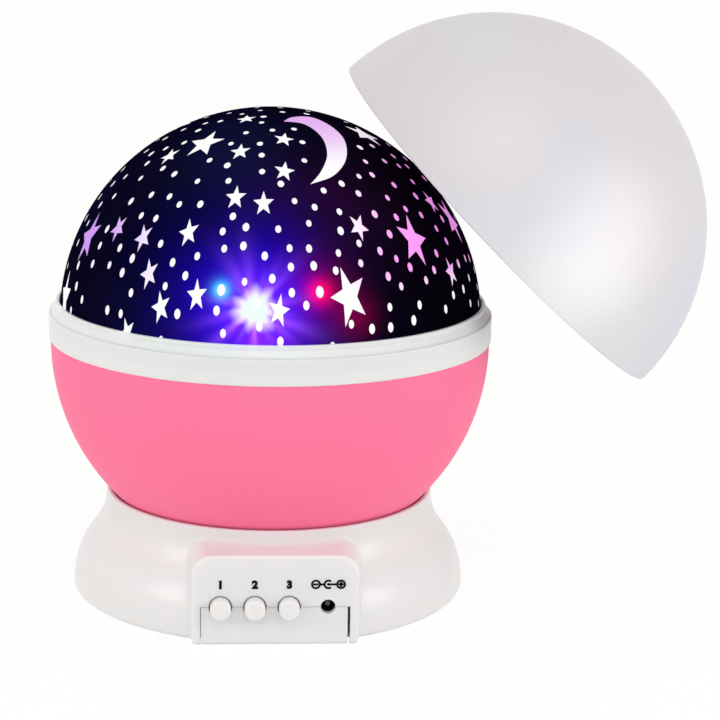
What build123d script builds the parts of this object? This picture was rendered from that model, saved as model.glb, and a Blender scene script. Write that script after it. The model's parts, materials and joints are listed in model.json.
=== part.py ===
from build123d import *
from math import acos, cos, pi, radians, sin, sqrt, tan
import os

# Star night light projector. Millimetres. Origin on the floor below the lamp's turning axis,
# +Z up along that axis, the panel with the buttons and the power socket faces -Y.

# ------------------------------------------------------------------ general clearances
running_gap = 0.05  # radial, between a shaft or pin and its bore
seat_gap = 0.15  # radial, between a piece and the socket that it sits in
seam_gap = 0.2  # between mouldings that meet at a visible seam
moving_gap = 0.4  # between a moving piece and what it passes
edge_share = 0.45  # the largest round on a wall's edge, as a share of the wall

# ------------------------------------------------------------------ turning bowl
bowl_radius = 62.0
bowl_wall = 1.8
bowl_floor_radius = 37.7  # of the bowl's flat floor, over the ring gear
bowl_edge_rise = 1.2  # the bowl's edge is this far above its widest circle

# ------------------------------------------------------------------ rings round the dome
ring_overhang = 0.5  # the rings stand out from the bowl by this much
body_ring_height = 7.3
collar_height = 3.2
collar_foot_inset = 0.5  # the collar's slope starts this far inside the rings' outer face
collar_lip_inset = 1.95  # the collar's lip stands this far inside the rings' outer face
collar_slope_height = 1.9  # the slope that carries the cover's rim, below the lip
collar_spigot_wall = 0.75
ring_spigot_depth = 4.0
ring_spigot_wall = 1.2
ring_edge_round = 0.4
lip_wall = 0.95  # the collar's upright lip, round the dome

# ------------------------------------------------------------------ dome and its star mask
dome_wall = 1.6
dome_drop = 2.5  # the dome's centre is this far below the seam of the rings
dome_flange_width = 1.0
dome_flange_height = 1.6
dome_skirt_depth = 3.8  # from the seam of the rings to the dome's lower edge
mask_wall = 0.4
mask_gap = 0.1
star_cut_half = 1.4  # a star's cut reaches this far to each side of the mask's face
moon_cut_half = 6.0  # the moon is larger, and the mask bends away from its cut's plane

# ------------------------------------------------------------------ stars cut through the mask
star_inner_share = 0.41  # a star's inner corners, as a share of its points' radius
big_star_radius = 5.3
small_star_radius = 2.9
crown_stretch = 1.12  # the print is drawn out towards the crown by this much at the crown
level_stretch = 0.5  # and by this much more at the dome's widest circle
moon_azimuth = 11.0
moon_elevation = 63.5
# the moon's two edges, in the plane that touches the mask at the place above
moon_upper_tip = (-0.4, 12.9)
moon_lower_tip = (1.1, -15.5)
moon_outer_edge = ((3.0, 16.4), (9.0, 17.5), (13.6, 11.0), (15.0, 3.5), (13.0, -5.5), (8.0, -12.3))
moon_inner_edge = ((5.0, 11.4), (8.3, 4.5), (8.1, -4.0), (4.9, -11.0))
# azimuth from the front towards +X, elevation above the dome's centre plane, turn in its plane
big_stars = (
    (-43, 62, 14),
    (19, 17, 17),
    (45, 29.5, -18),
    (75, 31, 36),
    (74, 64, 18),
    (-71, 26, 17),
    (-77, 8, 6),
)
small_stars = (
    (-57, 55, -30),
    (-35, 77, 33),
    (-19, 60, 13),
    (5, 66, -16),
    (3, 53, -12),
    (-15, 44, 5),
    (-5, 42.5, 3),
    (-28, 33, 18),
    (26, 35, 37),
    (66, 38, 0),
    (58, 19, 10),
    (0, 14, -11),
    (-22, 17, 7),
    (-32, 13, 20),
    (-37.5, 21, 25),
    (-56, 31, -31),
    (-43.5, 30, 32),
    (-42, 5, 27),
)

# ------------------------------------------------------------------ night cover, lifted off
cover_wall = 1.4
cover_lip_play = 0.25  # radial, between the seated cover and the collar's lip
cover_rim_offset = 2.18  # the rim plane is this far past the centre, towards the crown
cover_edge_round = 0.4
cover_tilt = 44.7  # from upright, in the lifted-off place
cover_heading = -5.3  # the crown leans this way from +X
cover_centre = (65.1, 21.7, 100.2)

# ------------------------------------------------------------------ base shell
skirt_spread = 9.5  # the skirt's foot stands out from its rim by this much
foot_round = 1.5
skirt_top_pull = 14.2  # handles of the skirt's curve, at its top and its foot
skirt_foot_pull = 17.5
base_wall = 1.8
skirt_wall_across = 2.1  # the skirt's wall, measured level
rim_above_floor = 6.3  # the rim stands this much higher than the bowl's floor
rim_wall = 1.2
rim_round = 0.5  # outside
rim_inner_round = 0.15  # towards the bowl
pod_width = 44.8
pod_flank_spread = 0.9  # each flank stands out this much more at the back
pod_back_sink = 0.25  # the pod's rear corners end this far inside the rim, along Y
pod_below_rim = 3.8
pod_corner = 5.5
pod_front_round = 0.8
pod_root_round = 2.0
pod_hollow_inset = 3.85  # each side, from the pod's flank to its upper hollow
panel_wall = 2.0

# ------------------------------------------------------------------ base bottom and battery door
plate_thickness = 2.0
tongue_inset = 2.3  # from the pod's flank to the notch in the panel, which the tongue fills
tongue_slot = 0.7  # the open slot along the tongue's right edge
bay_wall = 1.2
bay_skirt_gap = 1.75  # from the bay's outer corners to the plate's edge, along X
bay_corner = 2.5
bay_roof_chamfer = 3.0
door_gap = 0.3
door_pin_radius = 0.6
door_pin_length = 1.0
door_edge_share = 0.49  # the rear edge's rounds, as a share of the door's thickness
door_ear_width = 11.0
door_ear_shift = 5.0  # from the bay's middle towards the axis
door_ear_reach = 6.5
door_screw_length = 4.2
door_screw_play = 0.35  # radial, so that the screw swings out with the door
door_boss_height = 6.0
screw_hole_spare = 1.0  # below a screw's tip

# ------------------------------------------------------------------ cells and contacts
cell_count = 4
cell_radius = 5.25
cell_length = 43.5
cell_nub_radius = 1.9
cell_nub_length = 1.0
cell_pitch = 10.7
cell_play = 0.4
contact_space = 3.0
contact_thickness = 0.4
spring_wire_radius = 0.35
spring_turns = 3
spring_radius = 2.2
contact_half_width = 2.8
contact_stud_radius = 2.2

# ------------------------------------------------------------------ controls
button_names = ("left", "middle", "right")
button_inset = 7.65  # from the pod's left flank to the left button
jack_inset = 8.3  # from the pod's right flank to the power socket
jack_extra_gap = 1.24  # the power socket stands this much further off than one more button
control_height = 10.9
button_hole_radius = 3.15
button_radius = 2.8
button_stand_out = 3.5
button_travel = 0.8
button_flange_radius = 3.6
button_flange_thickness = 1.0
button_edge_round = 0.7
plunger_radius = 1.7
plunger_reach = 0.8
plunger_hold = 0.5  # the plunger starts this deep in its switch
switch_size = 6.0
switch_depth = 3.4
jack_hole_radius = 2.0
jack_bore_radius = 1.8
jack_bore_depth = 8.8
jack_pin_radius = 0.65
jack_pin_length = 8.0
jack_size = 9.0
jack_length = 10.6
board_thickness = 1.6
board_stand_off = 6.4  # from the panel's inside to the board
board_boss_radius = 1.3
board_boss_inset = 1.5  # from the board's top edge
board_lift = 0.6

# ------------------------------------------------------------------ drive
gear_module = 1.0
pressure_angle = 25.0
gear_dedendum = 1.25  # in modules
gear_backlash = 0.3
pinion_teeth = 12
ring_gear_teeth = 54
gear_thickness = 3.2
ring_gear_bore = 21.0
gear_deck_gap = 1.0
pinion_play = 0.6  # below the bowl's floor
motor_radius = 10.0
motor_length = 12.0
motor_ear_reach = 14.0
motor_ear_hole_inset = 2.0
motor_ear_thickness = 1.0
motor_ear_width = 6.0
motor_shaft_radius = 1.5
motor_bearing_radius = 3.5
motor_bearing_height = 1.2

# ------------------------------------------------------------------ lamp post and bearing
journal_radius = 8.0
journal_overrun = 1.5  # above the retaining clip
hub_wall = 3.0
hub_height = 9.0
post_tube_radius = 6.0
post_bore_radius = 4.2
post_flange_radius = 16.4
post_flange_thickness = 2.0
post_screw_inset = 2.6  # from the flange's edge
post_boss_wall = 1.2
post_head_radius = 7.6
post_head_thickness = 1.6
washer_thickness = 0.6
washer_play = 0.1
clip_thickness = 0.9
clip_width = 2.2
clip_groove = 0.7

# ------------------------------------------------------------------ light source
led_board_radius = 17.5
led_board_above_dome_centre = 0.1
led_radius = 2.5
led_flange_radius = 2.9
led_flange_height = 1.0
led_height = 8.4
led_circle = 14.0
white_led_place = (-4.5, -1.0)

# ------------------------------------------------------------------ screws and leads
screw_radius = 1.1
screw_head_radius = 1.9
screw_head_height = 1.3
small_screw_radius = 0.7
small_head_radius = 1.3
small_head_height = 0.9
gear_screw_bite = 2.0  # how far a screw reaches into its boss
ring_screw_bite = 4.0
boss_radius = 3.2
plate_boss_height = 1.6
base_screw_inset = 11.0  # from the skirt's foot
base_screw_bay_gap = 2.17  # between a base screw's boss and the battery bay, along Y
pad_radius = 4.8
pad_thickness = 0.8
base_screw_length = 9.0
lead_radius = 0.5
lead_pitch = 1.3
lead_bend = 3.0
lead_space = 2.2  # between the battery bay's roof and the deck

# ------------------------------------------------------------------ worked-out places
cell_height = plate_thickness + cell_play + cell_radius
bay_inside_top = cell_height + cell_radius + cell_play
bay_top = bay_inside_top + bay_wall
deck_underside = bay_top + lead_space
deck_top = deck_underside + base_wall

gear_bottom = deck_top + gear_deck_gap
bowl_floor = gear_bottom + gear_thickness
bowl_centre_height = bowl_floor + sqrt(bowl_radius**2 - bowl_floor_radius**2)
ring_gear_pitch = gear_module * ring_gear_teeth / 2
pinion_pitch = gear_module * pinion_teeth / 2
drive_centre = ring_gear_pitch + pinion_pitch
pinion_top = bowl_floor - pinion_play

ring_radius = bowl_radius + ring_overhang
ring_bottom = bowl_centre_height + bowl_edge_rise
ring_seam = ring_bottom + body_ring_height
ring_top = ring_seam + collar_height
lip_radius = ring_radius - collar_lip_inset
mask_radius = lip_radius - lip_wall - seat_gap
dome_radius = mask_radius - mask_wall - mask_gap
dome_centre_height = ring_seam - dome_drop
dome_edge = ring_seam - dome_skirt_depth
cover_radius = lip_radius + cover_lip_play + cover_wall

rim_height = bowl_floor + rim_above_floor
pod_height = rim_height - pod_below_rim
rim_inner_radius = sqrt((bowl_radius + moving_gap) ** 2 - (bowl_centre_height - rim_height) ** 2)
rim_radius = rim_inner_radius + rim_wall
base_radius = rim_radius + skirt_spread
pod_reach = base_radius  # the panel's face is level with the skirt's foot
plate_radius = base_radius - skirt_wall_across - seam_gap
pod_back = sqrt(rim_radius**2 - (pod_width / 2 + pod_flank_spread) ** 2) - pod_back_sink
tongue_left = pod_width / 2 - tongue_inset
tongue_right = tongue_left - tongue_slot

bay_width = cell_count * cell_pitch
bay_length = cell_length + cell_nub_length + 2 * contact_space
bay_outer_half_length = bay_length / 2 + bay_wall
bay_left = bay_skirt_gap + bay_wall - sqrt(plate_radius**2 - bay_outer_half_length**2)
bay_centre = bay_left + bay_width / 2

post_flange_top = deck_top + post_flange_thickness
post_screw_circle = post_flange_radius - post_screw_inset
hub_bottom = post_flange_top + washer_thickness + washer_play
hub_top = hub_bottom + hub_height
journal_top = hub_top + washer_play + clip_thickness + journal_overrun
hub_bore_radius = journal_radius + running_gap
hub_radius = hub_bore_radius + hub_wall
led_board_bottom = dome_centre_height + led_board_above_dome_centre - board_thickness
led_seat = led_board_bottom + board_thickness

jack_place = pod_width / 2 - jack_inset
button_row = pod_width - button_inset - jack_inset - jack_extra_gap
button_pitch = button_row / len(button_names)
button_places = [button_inset - pod_width / 2 + i * button_pitch for i in range(len(button_names))]
panel_inside = pod_reach - panel_wall
board_front = panel_inside - board_stand_off
board_back = board_front - board_thickness
switch_front = board_front + switch_depth
plunger_tip = switch_front + plunger_reach
lead_height = bay_top + lead_space / 2

os.makedirs("parts", exist_ok=True)


def write(part, label):
    """Label one finished piece and write it."""
    part.label = label
    export_step(part, f"parts/{label}.step")


def band(inner, outer, low, high, mode=Mode.ADD):
    """A rectangle of a turned section, between two radii and two heights."""
    with Locations(((inner + outer) / 2, (low + high) / 2)):
        Rectangle(outer - inner, high - low, mode=mode)


def skirt_points(inset):
    """Control points of the skirt's curve from the rim to the foot, moved in by the inset."""
    top = rim_radius - inset
    foot = base_radius - inset
    return (
        (top, rim_height),
        (top, rim_height - skirt_top_pull),
        (foot, skirt_foot_pull),
        (foot, 0),
    )


def posts(places, radius, low, high, mode=Mode.ADD):
    """Upright round posts, or holes, at the given places, between two heights."""
    with Locations(*[(x, y, low) for x, y in places]):
        Cylinder(radius, high - low, align=(Align.CENTER, Align.CENTER, Align.MIN), mode=mode)


def pegs(places, radius, front, back, mode=Mode.ADD):
    """Level round pegs, or holes, along Y, at places given as x and height."""
    with Locations(*[Pos(x, front, z) * Rot(-90, 0, 0) for x, z in places]):
        Cylinder(radius, back - front, align=(Align.CENTER, Align.CENTER, Align.MIN), mode=mode)


def block(left, right, front, back, low, high, mode=Mode.ADD):
    """A box between the given sides."""
    with Locations(((left + right) / 2, (front + back) / 2, (low + high) / 2)):
        Box(right - left, back - front, high - low, mode=mode)


def screws(places, seat, length, heads_up):
    """Pan-head screws, each head's bearing face at the given height."""
    way = 1 if heads_up else -1
    head = sorted((seat, seat + way * screw_head_height))
    shank = sorted((seat, seat - way * length))
    posts(places, screw_head_radius, *head)
    posts(places, screw_radius, *shank)


def small_screws(places, seat, length, heads_up):
    """Small screws for boards and the battery door, placed as the larger ones are."""
    way = 1 if heads_up else -1
    head = sorted((seat, seat + way * small_head_height))
    shank = sorted((seat, seat - way * length))
    posts(places, small_head_radius, *head)
    posts(places, small_screw_radius, *shank)


def polar_points(radius, angles):
    """Places on a circle round the lamp's axis, at the given angles."""
    return [(radius * cos(radians(a)), radius * sin(radians(a))) for a in angles]


def dome_plane(azimuth, elevation, turn, radius):
    """A plane that touches the ball of the given radius round the dome's centre."""
    out = Vector(
        cos(radians(elevation)) * sin(radians(azimuth)),
        -cos(radians(elevation)) * cos(radians(azimuth)),
        sin(radians(elevation)),
    )
    right = Vector(cos(radians(azimuth)), sin(radians(azimuth)), 0)
    origin = Vector(0, 0, dome_centre_height) + out * radius
    return Plane(origin=origin, x_dir=right, z_dir=out).rotated((0, 0, turn))


def star_corners(radius, turn, drawn_out):
    """The ten corners of a five-pointed star that is turned, then drawn out along Y."""
    corners = []
    for i in range(10):
        reach = radius if i % 2 == 0 else radius * star_inner_share
        angle = radians(turn) + pi / 2 + i * pi / 5
        corners.append((reach * cos(angle), drawn_out * reach * sin(angle)))
    return corners


def gear_corners(teeth):
    """Corners of an external spur gear's outline, three chords along each involute flank."""
    pitch = gear_module * teeth / 2
    base = pitch * cos(radians(pressure_angle))
    tip = pitch + gear_module
    root = pitch - gear_dedendum * gear_module
    start = max(base, root)
    half = pi / (2 * teeth) - gear_backlash / (2 * pitch) / 2
    flank = []
    for i in range(4):
        r = start + (tip - start) * i / 3
        roll = acos(min(1.0, base / r))
        at_pitch = tan(radians(pressure_angle)) - radians(pressure_angle)
        flank.append((r, half + at_pitch - (tan(roll) - roll)))
    corners = []
    for t in range(teeth):
        middle = 2 * pi * t / teeth
        tooth = [(root, -flank[0][1])]
        tooth += [(r, -a) for r, a in flank]
        tooth += [(r, a) for r, a in reversed(flank)]
        tooth.append((root, flank[0][1]))
        corners += [(r * cos(middle + a), r * sin(middle + a)) for r, a in tooth]
    return corners


# ================================================================== turning bowl
gear_screw_angles = (30, 150, 270)
ring_screw_angles = (90, 210, 330)
gear_screw_circle = (ring_gear_bore + ring_gear_pitch - gear_dedendum * gear_module) / 2
gear_screw_places = polar_points(gear_screw_circle, gear_screw_angles)
gear_boss_height = 4.0
gear_head_sink = screw_head_height + 0.2
ring_boss_height = 9.0
ring_boss_skin = 2.0
ring_boss_top = ring_bottom - ring_spigot_depth
ring_boss_centre = bowl_radius - bowl_wall - ring_spigot_wall - seat_gap - boss_radius
ring_screw_places = polar_points(ring_boss_centre, ring_screw_angles)
ring_ear_thickness = 2.0

with BuildPart() as bowl_shell:
    with BuildSketch(Plane.XZ):
        with Locations((0, bowl_centre_height)):
            Circle(bowl_radius)
            Circle(bowl_radius - bowl_wall, mode=Mode.SUBTRACT)
        band(0, bowl_floor_radius, bowl_floor, bowl_floor + bowl_wall)
        band(0, bowl_radius, bowl_floor, ring_bottom, mode=Mode.INTERSECT)
        band(0, hub_radius, hub_bottom, hub_top)
        band(0, hub_bore_radius, hub_bottom, hub_top, mode=Mode.SUBTRACT)
    revolve(axis=Axis.Z)
    posts(gear_screw_places, boss_radius, bowl_floor, bowl_floor + bowl_wall + gear_boss_height)
    posts(gear_screw_places, screw_radius, bowl_floor, bowl_floor + gear_boss_height, Mode.SUBTRACT)
    # each ring boss stands on a web that reaches out to the bowl's wall
    for angle in ring_screw_angles:
        with BuildSketch(Plane.XY.offset(ring_boss_top - ring_boss_height)):
            with Locations(Rot(0, 0, angle)):
                with Locations((ring_boss_centre, 0)):
                    SlotCenterPoint((0, 0), (boss_radius, 0), 2 * boss_radius)
        extrude(amount=ring_boss_height)
    with BuildSketch(Plane.XZ):
        with Locations((0, bowl_centre_height)):
            Circle(bowl_radius + bowl_wall + boss_radius)
            Circle(bowl_radius, mode=Mode.SUBTRACT)
        band(0, bowl_radius + bowl_wall + boss_radius, bowl_floor, ring_top, mode=Mode.INTERSECT)
    revolve(axis=Axis.Z, mode=Mode.SUBTRACT)
    posts(
        ring_screw_places,
        screw_radius,
        ring_boss_top - ring_boss_height + ring_boss_skin,
        ring_boss_top,
        Mode.SUBTRACT,
    )
write(bowl_shell.part, "bowl_shell")

# the ring gear is screwed under the bowl's floor, its screw heads sunk in it
with BuildPart() as ring_gear:
    with BuildSketch(Plane.XY.offset(gear_bottom)):
        Polygon(*gear_corners(ring_gear_teeth), align=None)
        Circle(ring_gear_bore, mode=Mode.SUBTRACT)
    extrude(amount=gear_thickness)
    posts(gear_screw_places, screw_radius + seat_gap, gear_bottom, bowl_floor, Mode.SUBTRACT)
    posts(
        gear_screw_places,
        screw_head_radius + seat_gap,
        gear_bottom,
        gear_bottom + gear_head_sink,
        Mode.SUBTRACT,
    )
write(ring_gear.part, "ring_gear")

with BuildPart() as gear_screws:
    gear_screw_length = gear_thickness + gear_screw_bite
    screws(gear_screw_places, gear_bottom + gear_head_sink, gear_screw_length, heads_up=False)
write(gear_screws.part, "gear_screws")

# ================================================================== rings round the dome
spigot_radius = bowl_radius - bowl_wall - seat_gap
dome_flange_radius = mask_radius + dome_flange_width
collar_spigot_inner = dome_flange_radius + seat_gap
collar_spigot_outer = collar_spigot_inner + collar_spigot_wall
body_ring_seat = collar_spigot_outer + seat_gap
dome_flange_top = dome_edge + dome_flange_height

with BuildPart() as body_ring:
    with BuildSketch(Plane.XZ):
        band(spigot_radius - ring_spigot_wall, ring_radius, ring_bottom, ring_seam)
        band(
            spigot_radius - ring_spigot_wall,
            spigot_radius,
            ring_bottom - ring_spigot_depth,
            ring_bottom,
        )
        # the socket that takes the collar's spigot and the dome's flange
        band(0, body_ring_seat, dome_edge, ring_seam, mode=Mode.SUBTRACT)
    revolve(axis=Axis.Z)
    ring_outer_edges = body_ring.edges().filter_by(GeomType.CIRCLE).filter_by(
        lambda e: abs(e.radius - ring_radius) < 0.01
    )
    fillet(ring_outer_edges, ring_edge_round)
    # ears over the bowl's bosses, joined to the spigot
    for angle in ring_screw_angles:
        with BuildSketch(Plane.XY.offset(ring_boss_top)):
            with Locations(Rot(0, 0, angle)):
                with Locations((ring_boss_centre, 0)):
                    SlotCenterPoint((0, 0), (ring_spigot_wall - seat_gap, 0), 2 * boss_radius)
        extrude(amount=ring_ear_thickness)
    posts(
        ring_screw_places,
        screw_radius + seat_gap,
        ring_boss_top,
        ring_boss_top + ring_ear_thickness,
        Mode.SUBTRACT,
    )
write(body_ring.part, "body_ring")

with BuildPart() as ring_screws:
    ring_screw_length = ring_ear_thickness + ring_screw_bite
    screws(ring_screw_places, ring_boss_top + ring_ear_thickness, ring_screw_length, heads_up=True)
write(ring_screws.part, "ring_screws")

with BuildPart() as dome_collar:
    with BuildSketch(Plane.XZ):
        Polygon(
            (mask_radius + seat_gap, ring_seam),
            (ring_radius - collar_foot_inset, ring_seam),
            (lip_radius, ring_seam + collar_slope_height),
            (lip_radius, ring_top),
            (mask_radius + seat_gap, ring_top),
            align=None,
        )
        # the collar reaches down to the dome's flange and clamps it
        band(mask_radius + seat_gap, collar_spigot_outer, dome_flange_top, ring_seam)
        band(collar_spigot_inner, collar_spigot_outer, dome_edge, dome_flange_top)
    revolve(axis=Axis.Z)
    lip_top_edge = dome_collar.edges().filter_by(GeomType.CIRCLE).filter_by(
        lambda e: abs(e.radius - lip_radius) < 0.01 and abs(e.center().Z - ring_top) < 0.01
    )
    fillet(lip_top_edge, edge_share * lip_wall)
write(dome_collar.part, "dome_collar")

# ================================================================== dome and star mask
with BuildPart() as star_dome:
    with BuildSketch(Plane.XZ):
        with Locations((0, dome_centre_height)):
            Circle(dome_radius)
            Circle(dome_radius - dome_wall, mode=Mode.SUBTRACT)
        band(0, dome_radius, dome_centre_height, ring_top + dome_radius, mode=Mode.INTERSECT)
        band(dome_radius - dome_wall, dome_radius, dome_edge, dome_centre_height)
        band(dome_radius - dome_wall, dome_flange_radius, dome_edge, dome_flange_top)
    revolve(axis=Axis.Z)
write(star_dome.part, "star_dome")

with BuildPart() as star_mask:
    with BuildSketch(Plane.XZ):
        with Locations((0, dome_centre_height)):
            Circle(mask_radius)
            Circle(mask_radius - mask_wall, mode=Mode.SUBTRACT)
        # the mask stands on the dome's flange
        mask_edge = dome_flange_top + mask_gap
        band(0, mask_radius, mask_edge, ring_top + mask_radius, mode=Mode.INTERSECT)
    revolve(axis=Axis.Z)
    # the same stars repeat on the back half, turned half way round
    for half_turn in (0, 180):
        for stars, size in ((big_stars, big_star_radius), (small_stars, small_star_radius)):
            for azimuth, elevation, turn in stars:
                drawn_out = crown_stretch + level_stretch * cos(radians(elevation)) ** 2
                with BuildSketch(dome_plane(azimuth + half_turn, elevation, 0, mask_radius)):
                    Polygon(*star_corners(size, turn, drawn_out), align=None)
                extrude(amount=star_cut_half, both=True, mode=Mode.SUBTRACT)
    with BuildSketch(dome_plane(moon_azimuth, moon_elevation, 0, mask_radius)):
        with BuildLine():
            Spline(moon_upper_tip, *moon_outer_edge, moon_lower_tip)
            Spline(moon_upper_tip, *moon_inner_edge, moon_lower_tip)
        make_face()
    extrude(amount=moon_cut_half, both=True, mode=Mode.SUBTRACT)
write(star_mask.part, "star_mask")

# ================================================================== night cover
tilt, heading = radians(cover_tilt), radians(cover_heading)
cover_axis = (sin(tilt) * cos(heading), sin(tilt) * sin(heading), cos(tilt))
cover_plane = Plane(origin=cover_centre, x_dir=(-sin(heading), cos(heading), 0), z_dir=cover_axis)
with BuildPart(cover_plane) as night_cover:
    Sphere(cover_radius)
    Sphere(cover_radius - cover_wall, mode=Mode.SUBTRACT)
    with Locations((0, 0, cover_rim_offset)):
        Box(
            3 * cover_radius,
            3 * cover_radius,
            3 * cover_radius,
            align=(Align.CENTER, Align.CENTER, Align.MAX),
            mode=Mode.SUBTRACT,
        )
    fillet(night_cover.edges().filter_by(GeomType.CIRCLE), cover_edge_round)
write(night_cover.part, "night_cover")

# ================================================================== base shell
button_points = [(x, control_height) for x in button_places]
jack_point = [(jack_place, control_height)]
base_screw_y = bay_outer_half_length + base_screw_bay_gap + boss_radius
base_screw_x = sqrt((base_radius - base_screw_inset) ** 2 - base_screw_y**2)
base_screw_places = [
    (way_x * base_screw_x, way_y * base_screw_y)
    for way_x, way_y in ((1, 1), (-1, 1), (-1, -1), (1, -1))
]
board_boss_height = deck_underside - board_lift - board_boss_inset
board_boss_points = [
    ((button_places[0] + button_places[1]) / 2, board_boss_height),
    ((button_places[1] + button_places[2]) / 2, board_boss_height),
]
base_boss_seat = plate_thickness + plate_boss_height
base_screw_seat = pad_thickness + seat_gap + screw_head_height
board_screw_length = 3.5
motor_place = (drive_centre, 0)
motor_ear_hole = motor_ear_reach - motor_ear_hole_inset
motor_ear_places = [(drive_centre, motor_ear_hole), (drive_centre, -motor_ear_hole)]
post_screw_places = polar_points(post_screw_circle, ring_screw_angles)
deck_boss_depth = 1.4

with BuildPart() as base_shell:
    with BuildSketch(Plane.XZ):
        with BuildLine():
            outer_curve = Bezier(*skirt_points(0))
            Polyline(outer_curve @ 1, (0, 0), (0, rim_height), outer_curve @ 0)
        make_face()
    revolve(axis=Axis.Z)
    with BuildSketch():
        half = pod_width / 2
        with BuildLine():
            Polyline(
                (-half, -pod_reach),
                (half, -pod_reach),
                (half + pod_flank_spread, -pod_back),
                (-half - pod_flank_spread, -pod_back),
                close=True,
            )
        make_face()
    extrude(amount=pod_height)
    pod_shoulders = base_shell.edges().filter_by(
        lambda e: abs(e.center().Z - pod_height) < 0.01 and abs(abs(e.center().X) - half) < 1.0
    )
    fillet(pod_shoulders, pod_corner)
    panel_edges = base_shell.edges().filter_by(
        lambda e: abs(e.bounding_box().max.Y + pod_reach) < 0.01 and e.center().Z > 1.0
    )
    fillet(panel_edges, pod_front_round)
    # the crease between the pod and the skirt, then the foot all round
    crease = base_shell.edges().filter_by(
        lambda e: e.geom_type not in (GeomType.LINE, GeomType.CIRCLE)
        and -pod_reach + panel_wall < e.center().Y < -pod_reach / 2
    )
    fillet(crease, pod_root_round)
    fillet(base_shell.faces().sort_by(Axis.Z)[0].outer_wire().edges(), foot_round)
    posts([(0, 0)], rim_inner_radius, deck_top, rim_height, Mode.SUBTRACT)
    rim_edges = base_shell.edges().filter_by(GeomType.CIRCLE).group_by(Axis.Z)[-1]
    fillet(rim_edges.sort_by(SortBy.RADIUS)[-1], min(rim_round, edge_share * rim_wall))
    rim_edges = base_shell.edges().filter_by(GeomType.CIRCLE).group_by(Axis.Z)[-1]
    fillet(rim_edges.sort_by(SortBy.RADIUS)[0], min(rim_inner_round, edge_share * rim_wall))
    # hollow under the deck
    with BuildSketch(Plane.XZ):
        with BuildLine():
            inner_curve = Bezier(*skirt_points(skirt_wall_across))
            Polyline(inner_curve @ 1, (0, 0), (0, rim_height), inner_curve @ 0)
        make_face()
        band(0, base_radius, 0, deck_underside, mode=Mode.INTERSECT)
    revolve(axis=Axis.Z, mode=Mode.SUBTRACT)
    block(
        panel_wall - half,
        half - panel_wall,
        -panel_inside,
        -pod_back,
        0,
        deck_underside,
        Mode.SUBTRACT,
    )
    # the pod's own hollow, between the panel and the cradle
    block(
        pod_hollow_inset - half,
        half - pod_hollow_inset,
        -panel_inside,
        -rim_inner_radius - 2 * base_wall,
        deck_underside,
        pod_height - panel_wall,
        Mode.SUBTRACT,
    )
    # the notch that the tongue fills, and the holes of the controls
    block(-tongue_left, tongue_left, -pod_reach, -panel_inside, 0, control_height, Mode.SUBTRACT)
    pegs(button_points, button_hole_radius, -pod_reach, -panel_inside, Mode.SUBTRACT)
    pegs(jack_point, jack_hole_radius, -pod_reach, -panel_inside, Mode.SUBTRACT)
    # bosses for the control board, the base screws and the motor
    pegs(board_boss_points, board_boss_radius, -panel_inside, -board_front)
    pegs(
        board_boss_points,
        small_screw_radius,
        -board_front - board_screw_length,
        -board_front,
        Mode.SUBTRACT,
    )
    posts(base_screw_places, boss_radius, base_boss_seat, deck_underside)
    posts(
        base_screw_places,
        screw_radius,
        base_boss_seat,
        base_screw_seat + base_screw_length + seam_gap,
        Mode.SUBTRACT,
    )
    posts([(0, 0)], post_bore_radius, deck_underside, deck_top, Mode.SUBTRACT)
    posts(
        [motor_place],
        motor_bearing_radius + seat_gap,
        deck_underside,
        deck_top,
        Mode.SUBTRACT,
    )
    post_boss_radius = screw_radius + post_boss_wall
    post_boss_bottom = deck_underside - deck_boss_depth
    posts(post_screw_places, post_boss_radius, post_boss_bottom, deck_underside)
    posts(post_screw_places, screw_radius, post_boss_bottom, deck_top, Mode.SUBTRACT)
    posts(motor_ear_places, screw_radius, deck_underside, deck_top, Mode.SUBTRACT)
write(base_shell.part, "base_shell")

# ================================================================== base bottom
bay_half_length = bay_length / 2
door_thickness = plate_thickness - door_gap
door_axis_y = bay_half_length - door_gap - door_thickness / 2
door_axis_z = door_thickness / 2
door_ear_centre = bay_centre + door_ear_shift
door_screw_place = (door_ear_centre, -bay_half_length - door_ear_reach / 2)
door_screw_seat = small_head_height + seat_gap
cell_places = [bay_left + cell_pitch * (i + 0.5) for i in range(cell_count)]
battery_lead_points = [(cell_places[0], cell_height), (cell_places[-1], cell_height)]

with BuildPart() as bay_hollow:
    with BuildSketch():
        with Locations((bay_centre, 0)):
            RectangleRounded(bay_width, bay_length, bay_corner)
    extrude(amount=bay_inside_top)
    chamfer(bay_hollow.faces().sort_by(Axis.Z)[-1].edges(), bay_roof_chamfer - bay_wall / 2)

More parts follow.
